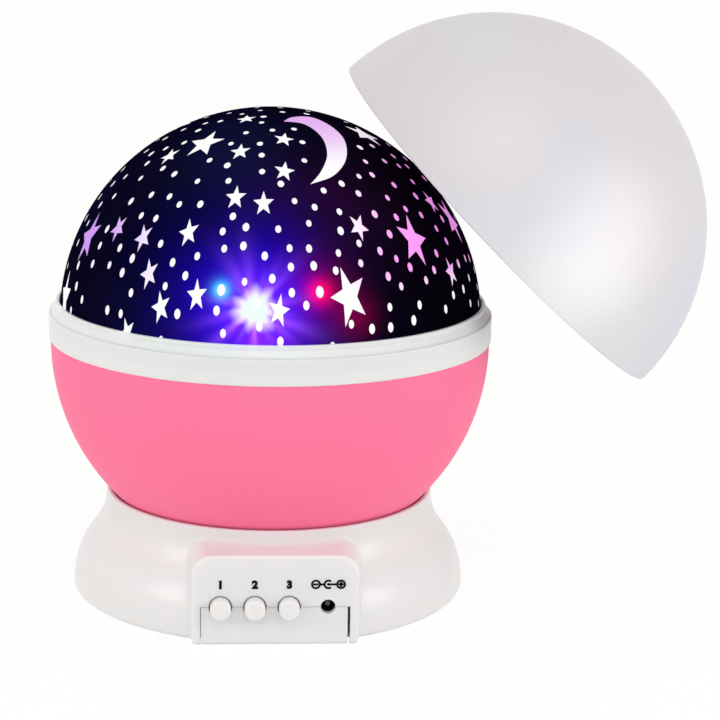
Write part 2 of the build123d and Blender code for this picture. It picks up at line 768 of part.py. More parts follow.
with BuildPart() as base_bottom:
    with BuildSketch(Plane.XY.offset(plate_thickness)):
        with Locations((bay_centre, 0)):
            RectangleRounded(bay_width + 2 * bay_wall, bay_length + 2 * bay_wall, bay_corner + bay_wall)
    extrude(amount=bay_top - plate_thickness)
    chamfer(base_bottom.faces().sort_by(Axis.Z)[-1].edges(), bay_roof_chamfer)
    posts([(0, 0)], plate_radius, 0, plate_thickness)
    tongue_from = seat_gap - tongue_left
    block(tongue_from, tongue_right, -pod_reach, 0, 0, plate_thickness)
    block(tongue_from, tongue_right, -pod_reach, -panel_inside, 0, control_height - seam_gap / 2)
    tongue_foot = base_bottom.edges().filter_by(
        lambda e: abs(e.center().Y + pod_reach) < 0.01 and abs(e.center().Z) < 0.01
    )
    fillet(tongue_foot, foot_round)
    posts(base_screw_places, boss_radius, plate_thickness, base_boss_seat)
    posts([door_screw_place], boss_radius, plate_thickness, plate_thickness + door_boss_height)
    add(bay_hollow.part, mode=Mode.SUBTRACT)
    # the opening's corners at the hinge are square, so that the door's sides swing clear
    block(
        bay_left,
        bay_left + bay_width,
        bay_half_length - bay_corner,
        bay_half_length,
        0,
        plate_thickness,
        Mode.SUBTRACT,
    )
    # the opening of the door's ear
    block(
        door_ear_centre - door_ear_width / 2,
        door_ear_centre + door_ear_width / 2,
        -bay_half_length - door_ear_reach,
        -bay_half_length + bay_corner,
        0,
        plate_thickness,
        Mode.SUBTRACT,
    )
    posts(
        [door_screw_place],
        small_screw_radius + door_screw_play,
        plate_thickness,
        door_screw_seat + door_screw_length + screw_hole_spare,
        Mode.SUBTRACT,
    )
    # bores of the door's hinge pins
    with Locations(Pos(bay_centre, door_axis_y, door_axis_z) * Rot(0, 90, 0)):
        Cylinder(
            door_pin_radius + running_gap,
            bay_width + 2 * (door_pin_length + running_gap),
            mode=Mode.SUBTRACT,
        )
    # lower halves of the holes of the controls
    pegs(button_points, button_hole_radius, -pod_reach, -panel_inside, Mode.SUBTRACT)
    pegs(jack_point, jack_hole_radius, -pod_reach, -panel_inside, Mode.SUBTRACT)
    pegs(
        battery_lead_points,
        lead_radius + seat_gap,
        -bay_half_length - bay_wall,
        -bay_half_length,
        Mode.SUBTRACT,
    )
    posts(base_screw_places, pad_radius + seat_gap, 0, pad_thickness, Mode.SUBTRACT)
    posts(base_screw_places, screw_head_radius + seat_gap, 0, base_screw_seat, Mode.SUBTRACT)
    posts(base_screw_places, screw_radius + seat_gap, 0, base_boss_seat, Mode.SUBTRACT)
write(base_bottom.part, "base_bottom")

with BuildPart() as foot_pads:
    posts(base_screw_places, pad_radius, 0, pad_thickness)
write(foot_pads.part, "foot_pads")

with BuildPart() as base_screws:
    screws(base_screw_places, base_screw_seat, base_screw_length, heads_up=False)
write(base_screws.part, "base_screws")

# ================================================================== battery door
with BuildPart() as battery_door:
    with BuildSketch():
        with Locations((bay_centre, 0)):
            RectangleRounded(
                bay_width - 2 * door_gap,
                bay_length - 2 * door_gap,
                bay_corner - door_gap,
            )
    extrude(amount=door_thickness)
    # the rear edge is round about the hinge's axis
    rear_edges = battery_door.edges().filter_by(Axis.X).sort_by(Axis.Y)[-2:]
    fillet(rear_edges, door_edge_share * door_thickness)
    block(
        door_ear_centre - door_ear_width / 2 + door_gap,
        door_ear_centre + door_ear_width / 2 - door_gap,
        -bay_half_length - door_ear_reach + door_gap,
        -bay_half_length + bay_corner,
        0,
        door_thickness,
    )
    with Locations(Pos(bay_centre, door_axis_y, door_axis_z) * Rot(0, 90, 0)):
        Cylinder(door_pin_radius, bay_width + 2 * door_pin_length)
    posts([door_screw_place], small_head_radius + seat_gap, 0, door_screw_seat, Mode.SUBTRACT)
    posts([door_screw_place], small_screw_radius + seat_gap, 0, door_thickness, Mode.SUBTRACT)
write(battery_door.part, "battery_door")

with BuildPart() as door_screw:
    small_screws([door_screw_place], door_screw_seat, door_screw_length, heads_up=False)
write(door_screw.part, "door_screw")

# ================================================================== cells and contacts
cell_end = (cell_length + cell_nub_length) / 2
contact_face = bay_half_length - contact_thickness
spring_height = contact_face - cell_end - 2 * (spring_wire_radius + running_gap)
stud_gap = 0.05

with BuildPart() as battery_cells:
    for i, x in enumerate(cell_places):
        way = 1 if i % 2 == 0 else -1  # neighbouring cells point opposite ways
        body = sorted((-way * cell_end, way * (cell_end - cell_nub_length)))
        nub = sorted((way * (cell_end - cell_nub_length), way * cell_end))
        pegs([(x, cell_height)], cell_radius, *body)
        pegs([(x, cell_height)], cell_nub_radius, *nub)
write(battery_cells.part, "battery_cells")


def contact_plate(first, last, way):
    """A contact plate against an end wall of the bay, from one cell to another."""
    sides = sorted((way * contact_face, way * bay_half_length))
    block(
        cell_places[first] - contact_half_width,
        cell_places[last] + contact_half_width,
        *sides,
        cell_height - contact_half_width,
        cell_height + contact_half_width,
    )
    for i in range(first, last + 1):
        nub_way = 1 if i % 2 == 0 else -1
        if nub_way == way:
            stud = sorted((way * (cell_end + stud_gap), way * contact_face))
            pegs([(cell_places[i], cell_height)], contact_stud_radius, *stud)


with BuildPart() as front_contacts:
    contact_plate(0, 0, -1)
    contact_plate(1, cell_count - 2, -1)
    contact_plate(cell_count - 1, cell_count - 1, -1)
write(front_contacts.part, "front_contacts")

with BuildPart() as rear_contacts:
    for i in range(0, cell_count, 2):
        contact_plate(i, i + 1, 1)
write(rear_contacts.part, "rear_contacts")

with BuildPart() as contact_springs:
    for i, x in enumerate(cell_places):
        way = -1 if i % 2 == 0 else 1  # a spring presses on each cell's flat end
        start = way * (contact_face - spring_wire_radius - running_gap)
        with BuildLine() as coil:
            Helix(
                pitch=spring_height / spring_turns,
                height=spring_height,
                radius=spring_radius,
                center=(x, start, cell_height),
                direction=(0, -way, 0),
            )
        with BuildSketch(Plane(origin=coil.line @ 0, z_dir=coil.line % 0)):
            Circle(spring_wire_radius)
        sweep(path=coil.line, is_frenet=True)
write(contact_springs.part, "contact_springs")

# ================================================================== controls
button_back = plunger_tip
flange_front = panel_inside - door_gap
for name, x in zip(button_names, button_places):
    point = [(x, control_height)]
    with BuildPart() as button:
        pegs(point, button_radius, -pod_reach - button_stand_out, -flange_front)
        fillet(button.edges().sort_by(Axis.Y)[0], button_edge_round)
        pegs(point, button_flange_radius, -flange_front, button_flange_thickness - flange_front)
        pegs(point, plunger_radius, -flange_front, -button_back)
    write(button.part, f"{name}_button")
    with BuildPart() as plunger:
        pegs(point, plunger_radius, -plunger_tip, plunger_hold - switch_front)
    write(plunger.part, f"{name}_plunger")

with BuildPart() as switch_bodies:
    for x in button_places:
        block(
            x - switch_size / 2,
            x + switch_size / 2,
            -switch_front,
            -board_front,
            control_height - switch_size / 2,
            control_height + switch_size / 2,
        )
    pegs(
        button_points,
        plunger_radius + running_gap,
        -switch_front,
        plunger_hold + button_travel + seat_gap - switch_front,
        Mode.SUBTRACT,
    )
write(switch_bodies.part, "switch_bodies")

jack_front = panel_inside - running_gap
with BuildPart() as power_socket:
    block(
        jack_place - jack_size / 2,
        jack_place + jack_size / 2,
        -jack_front,
        jack_length - jack_front,
        control_height - jack_size / 2,
        control_height + jack_size / 2,
    )
    pegs(jack_point, jack_bore_radius, -jack_front, jack_bore_depth - jack_front, Mode.SUBTRACT)
write(power_socket.part, "power_socket")

with BuildPart() as socket_pin:
    jack_floor = jack_bore_depth - jack_front
    pegs(jack_point, jack_pin_radius, jack_floor - jack_pin_length, jack_floor)
write(socket_pin.part, "socket_pin")

with BuildPart() as control_board:
    block(
        panel_wall + seam_gap - pod_width / 2,
        pod_width / 2 - panel_wall - seam_gap,
        -board_front,
        -board_back,
        plate_thickness + board_lift,
        deck_underside - board_lift,
    )
    # the power socket sits in a notch, open at the top
    block(
        jack_place - jack_size / 2 - seat_gap,
        jack_place + jack_size / 2 + seat_gap,
        -board_front,
        -board_back,
        control_height - jack_size / 2,
        deck_underside,
        Mode.SUBTRACT,
    )
    pegs(
        board_boss_points,
        small_screw_radius + seat_gap,
        -board_front,
        -board_back,
        Mode.SUBTRACT,
    )
write(control_board.part, "control_board")

with BuildPart() as board_screws:
    pegs(board_boss_points, small_head_radius, -board_back, small_head_height - board_back)
    pegs(
        board_boss_points,
        small_screw_radius,
        -board_front - board_screw_length + seat_gap,
        -board_back,
    )
write(board_screws.part, "board_screws")

# ================================================================== drive
motor_ear_bottom = deck_underside - motor_ear_thickness
shaft_bottom = deck_underside - motor_length / 2
with BuildPart() as gear_motor:
    posts([motor_place], motor_radius, deck_underside - motor_length, deck_underside)
    block(
        drive_centre - motor_ear_width / 2,
        drive_centre + motor_ear_width / 2,
        -motor_ear_reach,
        motor_ear_reach,
        motor_ear_bottom,
        deck_underside,
    )
    posts(
        [motor_place],
        motor_bearing_radius,
        deck_underside,
        deck_underside + motor_bearing_height,
    )
    posts(
        [motor_place],
        motor_shaft_radius + running_gap,
        shaft_bottom - seat_gap,
        deck_underside + motor_bearing_height,
        Mode.SUBTRACT,
    )
    posts(
        motor_ear_places,
        screw_radius + seat_gap,
        motor_ear_bottom,
        deck_underside,
        Mode.SUBTRACT,
    )
write(gear_motor.part, "gear_motor")

with BuildPart() as motor_screws:
    motor_screw_length = motor_ear_thickness + base_wall - seat_gap
    screws(motor_ear_places, motor_ear_bottom, motor_screw_length, heads_up=False)
write(motor_screws.part, "motor_screws")

with BuildPart() as motor_shaft:
    posts([motor_place], motor_shaft_radius, shaft_bottom, pinion_top)
write(motor_shaft.part, "motor_shaft")

with BuildPart() as drive_pinion:
    with BuildSketch(Plane.XY.offset(gear_bottom)):
        with Locations(motor_place):
            # a gap between two teeth faces the ring gear's tooth
            with Locations(Rot(0, 0, 180 / pinion_teeth)):
                Polygon(*gear_corners(pinion_teeth), align=None)
                Circle(motor_shaft_radius, mode=Mode.SUBTRACT)
    extrude(amount=pinion_top - gear_bottom)
write(drive_pinion.part, "drive_pinion")

# ================================================================== lamp post and bearing
groove_bottom = hub_top + washer_play
groove_top = groove_bottom + clip_thickness + washer_play
post_head_bottom = led_board_bottom - post_head_thickness
led_screw_circle = (post_bore_radius + post_head_radius) / 2
led_screw_places = polar_points(led_screw_circle, (90, 270))
led_screw_length = board_thickness + post_head_thickness - seat_gap

with BuildPart() as lamp_post:
    with BuildSketch(Plane.XZ):
        band(post_bore_radius, post_flange_radius, deck_top, post_flange_top)
        band(post_bore_radius, journal_radius, post_flange_top, journal_top)
        band(post_bore_radius, post_tube_radius, journal_top, led_board_bottom)
        band(post_bore_radius, post_head_radius, post_head_bottom, led_board_bottom)
        band(
            journal_radius - clip_groove,
            journal_radius,
            groove_bottom,
            groove_top,
            mode=Mode.SUBTRACT,
        )
    revolve(axis=Axis.Z)
    posts(post_screw_places, screw_radius + seat_gap, deck_top, post_flange_top, Mode.SUBTRACT)
    posts(
        led_screw_places,
        small_screw_radius,
        post_head_bottom,
        led_board_bottom,
        Mode.SUBTRACT,
    )
write(lamp_post.part, "lamp_post")

with BuildPart() as post_screws:
    post_screw_length = post_flange_thickness + base_wall + deck_boss_depth - seat_gap
    screws(post_screw_places, post_flange_top, post_screw_length, heads_up=True)
write(post_screws.part, "post_screws")

with BuildPart() as thrust_washer:
    posts([(0, 0)], hub_radius, post_flange_top, post_flange_top + washer_thickness)
    posts(
        [(0, 0)],
        journal_radius + running_gap,
        post_flange_top,
        post_flange_top + washer_thickness,
        Mode.SUBTRACT,
    )
write(thrust_washer.part, "thrust_washer")

with BuildPart() as retaining_clip:
    clip_inner = journal_radius - clip_groove + running_gap
    clip_top = groove_bottom + clip_thickness
    posts([(0, 0)], clip_inner + clip_width, groove_bottom, clip_top)
    posts([(0, 0)], clip_inner, groove_bottom, clip_top, Mode.SUBTRACT)
    # the open mouth that lets the clip snap on
    block(
        -clip_inner / 2,
        clip_inner / 2,
        0,
        2 * clip_inner,
        groove_bottom,
        clip_top,
        Mode.SUBTRACT,
    )
write(retaining_clip.part, "retaining_clip")

# ================================================================== light source
with BuildPart() as led_board:
    posts([(0, 0)], led_board_radius, led_board_bottom, led_seat)
    posts(
        led_screw_places,
        small_screw_radius + seat_gap,
        led_board_bottom,
        led_seat,
        Mode.SUBTRACT,
    )
write(led_board.part, "led_board")

with BuildPart() as led_screws:
    small_screws(led_screw_places, led_seat, led_screw_length, heads_up=True)
write(led_screws.part, "led_screws")

led_places = {
    "white_led": white_led_place,
    "red_led": (led_circle, 0),
    "green_led": (0, led_circle),
    "blue_led": (-led_circle, 0),
}
for name, place in led_places.items():
    with BuildPart() as led:
        posts([place], led_flange_radius, led_seat, led_seat + led_flange_height)
        posts([place], led_radius, led_seat, led_seat + led_height - led_radius)
        with Locations((*place, led_seat + led_height - led_radius)):
            Sphere(led_radius)
    write(led.part, name)

# ================================================================== inner leads
led_lead_start = 4.3  # the LED leads leave the control board here, beside the power socket
led_lead_bend_front = 30.0
led_lead_bend_back = 14.0
led_lead_count = 5
with BuildPart() as led_leads:
    for i in range(led_lead_count):
        side = (i - (led_lead_count - 1) / 2) * lead_pitch
        with BuildLine() as route:
            FilletPolyline(
                (led_lead_start + side, -board_back, lead_height),
                (led_lead_start + side, -led_lead_bend_front, lead_height),
                (side, -led_lead_bend_back, lead_height),
                (side, 0, lead_height),
                (side, 0, led_board_bottom),
                radius=lead_bend,
            )
        with BuildSketch(Plane(origin=route.line @ 0, z_dir=route.line % 0)):
            Circle(lead_radius)
        sweep(path=route.line)
write(led_leads.part, "led_leads")

motor_lead_place = 7.8  # along the board, just left of the power socket
motor_lead_height = 9.0
with BuildPart() as motor_leads:
    for i in range(2):
        x = motor_lead_place - i * lead_pitch
        y = (i - 0.5) * lead_pitch
        with BuildLine() as route:
            FilletPolyline(
                (drive_centre - motor_radius, y, motor_lead_height),
                (x, y, motor_lead_height),
                (x, -board_back, motor_lead_height),
                radius=2 * lead_bend,
            )
        with BuildSketch(Plane(origin=route.line @ 0, z_dir=route.line % 0)):
            Circle(lead_radius)
        sweep(path=route.line)
write(motor_leads.part, "motor_leads")

battery_lead_place = -16.0  # along the board, where the lead from the far side ends
battery_lead_run = 4.0  # its last straight stretch
battery_lead_bend = 1.5
battery_lead_boss_gap = 3.0
with BuildPart() as battery_leads:
    pegs(battery_lead_points[1:], lead_radius, -board_back, -bay_half_length)
    # the other lead goes round the screw boss beside the bay
    boss_x, boss_y = base_screw_places[2]
    with BuildLine() as route:
        FilletPolyline(
            (cell_places[0], -bay_half_length, cell_height),
            (cell_places[0], boss_y, cell_height),
            (boss_x, boss_y - boss_radius - battery_lead_boss_gap, cell_height),
            (battery_lead_place, battery_lead_run - board_back, cell_height),
            (battery_lead_place, -board_back, cell_height),
            radius=battery_lead_bend,
        )
    with BuildSketch(Plane(origin=route.line @ 0, z_dir=route.line % 0)):
        Circle(lead_radius)
    sweep(path=route.line)
write(battery_leads.part, "battery_leads")
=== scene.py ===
import json
import math
import random

import bpy
from mathutils import Euler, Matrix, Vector, kdtree
from mathutils.geometry import delaunay_2d_cdt


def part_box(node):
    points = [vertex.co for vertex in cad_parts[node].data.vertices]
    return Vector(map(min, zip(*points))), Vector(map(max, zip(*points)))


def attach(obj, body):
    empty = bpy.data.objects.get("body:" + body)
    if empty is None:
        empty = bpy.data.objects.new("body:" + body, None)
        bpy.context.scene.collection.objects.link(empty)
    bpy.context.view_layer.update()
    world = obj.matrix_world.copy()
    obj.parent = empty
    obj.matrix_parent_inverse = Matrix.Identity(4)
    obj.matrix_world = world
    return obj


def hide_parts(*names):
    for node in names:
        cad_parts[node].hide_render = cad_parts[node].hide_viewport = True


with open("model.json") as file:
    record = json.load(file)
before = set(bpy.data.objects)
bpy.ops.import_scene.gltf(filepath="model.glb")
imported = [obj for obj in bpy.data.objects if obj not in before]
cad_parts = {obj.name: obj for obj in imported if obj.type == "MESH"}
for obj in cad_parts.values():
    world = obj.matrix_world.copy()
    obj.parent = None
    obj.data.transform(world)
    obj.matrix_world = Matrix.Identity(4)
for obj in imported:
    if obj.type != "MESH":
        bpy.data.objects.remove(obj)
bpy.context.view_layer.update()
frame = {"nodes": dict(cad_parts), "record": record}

# Star night light projector. Metres. The lamp's turning axis is the Z axis, the floor is at z = 0,
# and the panel with the buttons faces -Y.

# ------------------------------------------------------------------ places read from the frame
mask_low, mask_high = (Vector(corner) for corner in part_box("star_mask"))
mask_radius = (mask_high.x - mask_low.x) / 2
dome_centre = Vector((0, 0, mask_high.z - mask_radius))
panel_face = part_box("base_shell")[0][1]
button_centres = [
    (Vector(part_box(name)[0]) + Vector(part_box(name)[1])) / 2
    for name in ("left_button", "middle_button", "right_button")
]
socket_centre = (Vector(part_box("socket_pin")[0]) + Vector(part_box("socket_pin")[1])) / 2

# ------------------------------------------------------------------ star pattern
film_thickness = 0.00030
window_sink = 0.00006
window_thickness = 0.00036
star_inner_share = 0.41
big_star_radius = 0.0053
small_star_radius = 0.0029
# azimuth from the front towards +X, elevation above the dome's centre plane, turn in its plane
big_stars = (
    (-43, 62, 14),
    (19, 17, 17),
    (45, 29.5, -18),
    (75, 31, 36),
    (74, 64, 18),
    (-71, 26, 17),
    (-77, 8, 6),
)
small_stars = (
    (-57, 55, -30),
    (-35, 77, 33),
    (-19, 60, 13),
    (5, 66, -16),
    (3, 53, -12),
    (-15, 44, 5),
    (-5, 42.5, 3),
    (-28, 33, 18),
    (26, 35, 37),
    (66, 38, 0),
    (58, 19, 10),
    (0, 14, -11),
    (-22, 17, 7),
    (-32, 13, 20),
    (-37.5, 21, 25),
    (-56, 31, -31),
    (-43.5, 30, 32),
    (-42, 5, 27),
)
moon_place = (11.0, 63.5)
# the moon's two edges in millimetres, in the plane that touches the dome at the place above
moon_upper_tip = (-0.4, 12.9)
moon_lower_tip = (1.1, -15.5)
moon_outer_edge = ((3.0, 16.4), (9.0, 17.5), (13.6, 11.0), (15.0, 3.5), (13.0, -5.5), (8.0, -12.3))
moon_inner_edge = ((5.0, 11.4), (8.3, 4.5), (8.1, -4.0), (4.9, -11.0))
moon_edge_steps = 6
dot_half_width = 0.00082
lit_dot_half_width = 0.00105
dot_drawn_out = 0.95
dot_size_spread = 0.12
dot_count = 350
dot_corners = 16
dot_spacing = 0.0046
dot_star_margin = 0.0016
dot_step = (0.0058, 0.0084)
dot_chain_length = 7
dot_chain_bend = 0.75
dot_moon_gap = 0.0026
dot_rim_rise = 0.03  # share of the dome's radius that dots stay over the film's lower edge
dot_draw_seed = 11
dot_tries = 4000
film_grid = 0.0022
film_rim_corners = 240
edge_margin = 0.0001
weld_reach = 0.0000001
sharp_edge_angle = 35
stretch_at_crown = 1.12
stretch_gain_at_rim = 0.5

# the lamp's lights, as they show on the dome: the flare of the white one, and a lit dot each
# for the red and the cyan one
flare_place = (-6.2, 14.3)
red_place = (10.9, 18.6)
cyan_place = (-15.4, 18.8)


def ball_direction(azimuth, elevation):
    """Unit vector out of the dome, from an azimuth and an elevation in degrees."""
    a, e = math.radians(azimuth), math.radians(elevation)
    return Vector((math.cos(e) * math.sin(a), -math.cos(e) * math.cos(a), math.sin(e)))


def ball_frame(azimuth, elevation):
    """Outward, level and upward directions at a place on the dome."""
    out = ball_direction(azimuth, elevation)
    a = math.radians(azimuth)
    level = Vector((math.cos(a), math.sin(a), 0))
    return out, level, out.cross(level)


def flat_from_ball(direction):
    """Place on the flat map of the dome, true to scale along each line from the crown."""
    angle = math.acos(max(-1.0, min(1.0, direction.z)))
    level = math.hypot(direction.x, direction.y)
    if level == 0:
        return Vector((0, 0))
    reach = mask_radius * angle / level
    return Vector((direction.x * reach, direction.y * reach))


def ball_from_flat(point):
    """Outward direction on the dome of a place on its flat map."""
    reach = point.length
    if reach == 0:
        return Vector((0, 0, 1))
    angle = reach / mask_radius
    share = math.sin(angle) / reach
    return Vector((point.x * share, point.y * share, math.cos(angle)))


def stretch(elevation):
    """The print is drawn out towards the crown, most of all low on the dome."""
    return stretch_at_crown + stretch_gain_at_rim * math.cos(math.radians(elevation)) ** 2


def outline_on_map(azimuth, elevation, corners):
    """Flat map of an outline that is given in the plane that touches the dome."""
    out, level, up = ball_frame(azimuth, elevation)
    places = []
    for x, y in corners:
        depth = math.sqrt(mask_radius**2 - x * x - y * y)
        places.append(flat_from_ball((out * depth + level * x + up * y).normalized()))
    return places


def star_outline(azimuth, elevation, turn, radius):
    corners = []
    for i in range(10):
        reach = radius if i % 2 == 0 else radius * star_inner_share
        angle = math.radians(90 + turn) + i * math.pi / 5
        corners.append((reach * math.cos(angle), reach * math.sin(angle) * stretch(elevation)))
    return outline_on_map(azimuth, elevation, corners)


def smooth_line(points, steps):
    """Points along a smooth curve through the given points, both ends included."""
    ends = [points[0]] + list(points) + [points[-1]]
    line = []
    for p0, p1, p2, p3 in zip(ends, ends[1:], ends[2:], ends[3:]):
        for i in range(steps):
            u = i / steps
            weights = (
                (-u + 2 * u**2 - u**3) / 2,
                (2 - 5 * u**2 + 3 * u**3) / 2,
                (u + 4 * u**2 - 3 * u**3) / 2,
                (-(u**2) + u**3) / 2,
            )
            line.append(
                tuple(sum(w * p[k] for w, p in zip(weights, (p0, p1, p2, p3))) for k in (0, 1))
            )
    return line + [points[-1]]


def moon_outline():
    outer = smooth_line([moon_upper_tip, *moon_outer_edge, moon_lower_tip], moon_edge_steps)
    inner = smooth_line([moon_upper_tip, *moon_inner_edge, moon_lower_tip], moon_edge_steps)
    corners = inner[:-1] + outer[:0:-1]
    return outline_on_map(*moon_place, [(x / 1000, y / 1000) for x, y in corners])


def dot_outline(azimuth, elevation, half_width):
    half_height = half_width * dot_drawn_out * stretch(elevation)
    corners = []
    for i in range(dot_corners):
        angle = 2 * math.pi * i / dot_corners
        corners.append((half_width * math.cos(angle), half_height * math.sin(angle)))
    return outline_on_map(azimuth, elevation, corners)


def all_stars():
    """Every star on the dome: the front ones and their repeats on the back, half a turn on."""
    rows = []
    for half_turn in (0, 180):
        for stars, radius in ((big_stars, big_star_radius), (small_stars, small_star_radius)):
            for azimuth, elevation, turn in stars:
                rows.append((azimuth + half_turn, elevation, turn, radius))
    return rows


def scattered_dots(stars, moon):
    """Dots in loose chains that wander over the dome and keep off the stars and the moon."""
    draw = random.Random(dot_draw_seed)
    taken = [ball_direction(*red_place), ball_direction(*cyan_place)]
    lit_dots = len(taken)
    keep_off = []
    for azimuth, elevation, _, radius in stars:
        keep_off.append((ball_direction(azimuth, elevation), radius + dot_star_margin))
    moon_ways = [ball_from_flat(p) for p in moon]
    lowest_dot = (mask_low.z - dome_centre.z) / mask_radius + dot_rim_rise
    tries = 0
    while len(taken) < dot_count and tries < dot_tries:
        tries += 1
        way = ball_direction(draw.uniform(-180, 180), math.degrees(math.asin(draw.random())))
        heading = draw.uniform(0, 2 * math.pi)
        for _ in range(dot_chain_length):
            level = Vector((-way.y, way.x, 0))
            level = level.normalized() if level.length > 0 else Vector((1, 0, 0))
            up = way.cross(level)
            free = way.z > lowest_dot
            free = free and all((way - t).length * mask_radius > dot_spacing for t in taken)
            free = free and all((way - s).length * mask_radius > gap for s, gap in keep_off)
            free = free and all((way - m).length * mask_radius > dot_moon_gap for m in moon_ways)
            if free and len(taken) < dot_count:
                taken.append(way)
            heading += draw.uniform(-dot_chain_bend, dot_chain_bend)
            step = draw.uniform(*dot_step) / mask_radius
            way = (way + (level * math.cos(heading) + up * math.sin(heading)) * step).normalized()
    dots = []
    for way in taken:
        azimuth = math.degrees(math.atan2(way.x, -way.y))
        elevation = math.degrees(math.asin(way.z))
        size = dot_half_width * draw.uniform(1 - dot_size_spread, 1 + dot_size_spread)
        size = lit_dot_half_width if len(dots) < lit_dots else size
        dots.append(dot_outline(azimuth, elevation, size))
    return dots


def shell(name, places, faces, outer, inner):
    """A closed mesh between two radii round the dome's centre, over faces of the flat map."""
    used = sorted({i for face in faces for i in face})
    index = {old: new for new, old in enumerate(used)}
    count = len(used)
    directions = [ball_from_flat(places[i]) for i in used]
    verts = [dome_centre + d * outer for d in directions]
    verts += [dome_centre + d * inner for d in directions]
    quads = []
    edges = []
    for face in faces:
        ring = [index[i] for i in face]
        quads.append(ring)
        quads.append([i + count for i in reversed(ring)])
        for a, b in zip(ring, ring[1:] + ring[:1]):
            edges.append((a, b))
    both_ways = set(edges)
    for a, b in edges:
        if (b, a) not in both_ways:
            quads.append([b, a, a + count, b + count])
    mesh = bpy.data.meshes.new(name)
    mesh.from_pydata([tuple(v) for v in verts], [], quads)
    mesh.validate()
    mesh.shade_smooth()
    mesh.set_sharp_from_angle(angle=math.radians(sharp_edge_angle))
    piece = bpy.data.objects.new(name, mesh)
    bpy.context.scene.collection.objects.link(piece)
    return piece


def turned_outwards(places, face):
    """The face with its corners in the order that makes its normal point out of the dome."""
    a, b, c = (ball_from_flat(places[i]) for i in face[:3])
    return list(face) if (b - a).cross(c - a).dot(a) > 0 else list(reversed(face))


def star_pattern():
    """The printed film with its openings, and what fills the stars, the dots and the moon."""
    stars = all_stars()
    moon = moon_outline()
    outlines = [moon]
    outlines += [star_outline(*star) for star in stars]
    outlines += scattered_dots(stars, moon)
    rim_reach = mask_radius * math.acos((mask_low.z - dome_centre.z) / mask_radius)
    rim = []
    for i in range(film_rim_corners):
        angle = 2 * math.pi * i / film_rim_corners
        rim.append(Vector((rim_reach * math.cos(angle), rim_reach * math.sin(angle))))
    places = list(rim)
    loops = [list(range(film_rim_corners))]
    for outline in outlines:
        # what would pass the film's lower edge ends just inside it
        limit = rim_reach - edge_margin
        outline = [p if p.length < limit else p * (limit / p.length) for p in outline]
        loops.append(list(range(len(places), len(places) + len(outline))))
        places += outline
    near = kdtree.KDTree(len(places))
    for i, place in enumerate(places):
        near.insert((place.x, place.y, 0), i)
    near.balance()
    rows = int(rim_reach / film_grid) + 1
    for row in range(-rows, rows + 1):
        for column in range(-rows, rows + 1):
            shift = film_grid / 2 if row % 2 else 0
            place = Vector((column * film_grid + shift, row * film_grid * math.sqrt(3) / 2))
            gap = near.find((place.x, place.y, 0))[2]
            if place.length < rim_reach - film_grid / 2 and gap > film_grid / 3:
                places.append(place)
    verts, _, faces, _, _, sources = delaunay_2d_cdt(places, [], loops, 0, weld_reach, True)
    film, star_faces, dot_faces, moon_faces = [], [], [], []
    for face, source in zip(faces, sources):
        inner = [k for k in source if k > 0]
        if not inner:
            group = film
        elif inner[0] == 1:
            group = moon_faces
        elif inner[0] <= 1 + len(stars):
            group = star_faces
        else:
            group = dot_faces
        group.append(turned_outwards(verts, face))
    film_piece = shell("star_print", verts, film, mask_radius, mask_radius - film_thickness)
    window_outer = mask_radius - window_sink
    window_inner = window_outer - window_thickness
    windows = [
        shell("star_windows", verts, star_faces, window_outer, window_inner),
        shell("dot_windows", verts, dot_faces, window_outer, window_inner),
        shell("moon_window", verts, moon_faces, window_outer, window_inner),
    ]
    return film_piece, windows


star_print, windows = star_pattern()
star_windows, dot_windows, moon_window = windows
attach(star_print, "rotor")
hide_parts("star_mask")
for window in windows:
    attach(window, "rotor")

# ------------------------------------------------------------------ printing on the panel
print_lift = 0.00002
print_thickness = 0.00004
numeral_height = 0.00245
numeral_rise = 0.0063
print_stroke = 0.00056
symbol_half_width = 0.0047
symbol_ring = 0.00134
symbol_sign_share = 1.05  # length of the minus and plus strokes, as a share of their ring's radius
symbol_socket_bow = (50, 310)
symbol_pin_radius = 0.00038
symbol_steps = 28
numeral_offset = 0.075  # how far the numerals are fattened, as a share of the letter size
numeral_extrude = 0.5


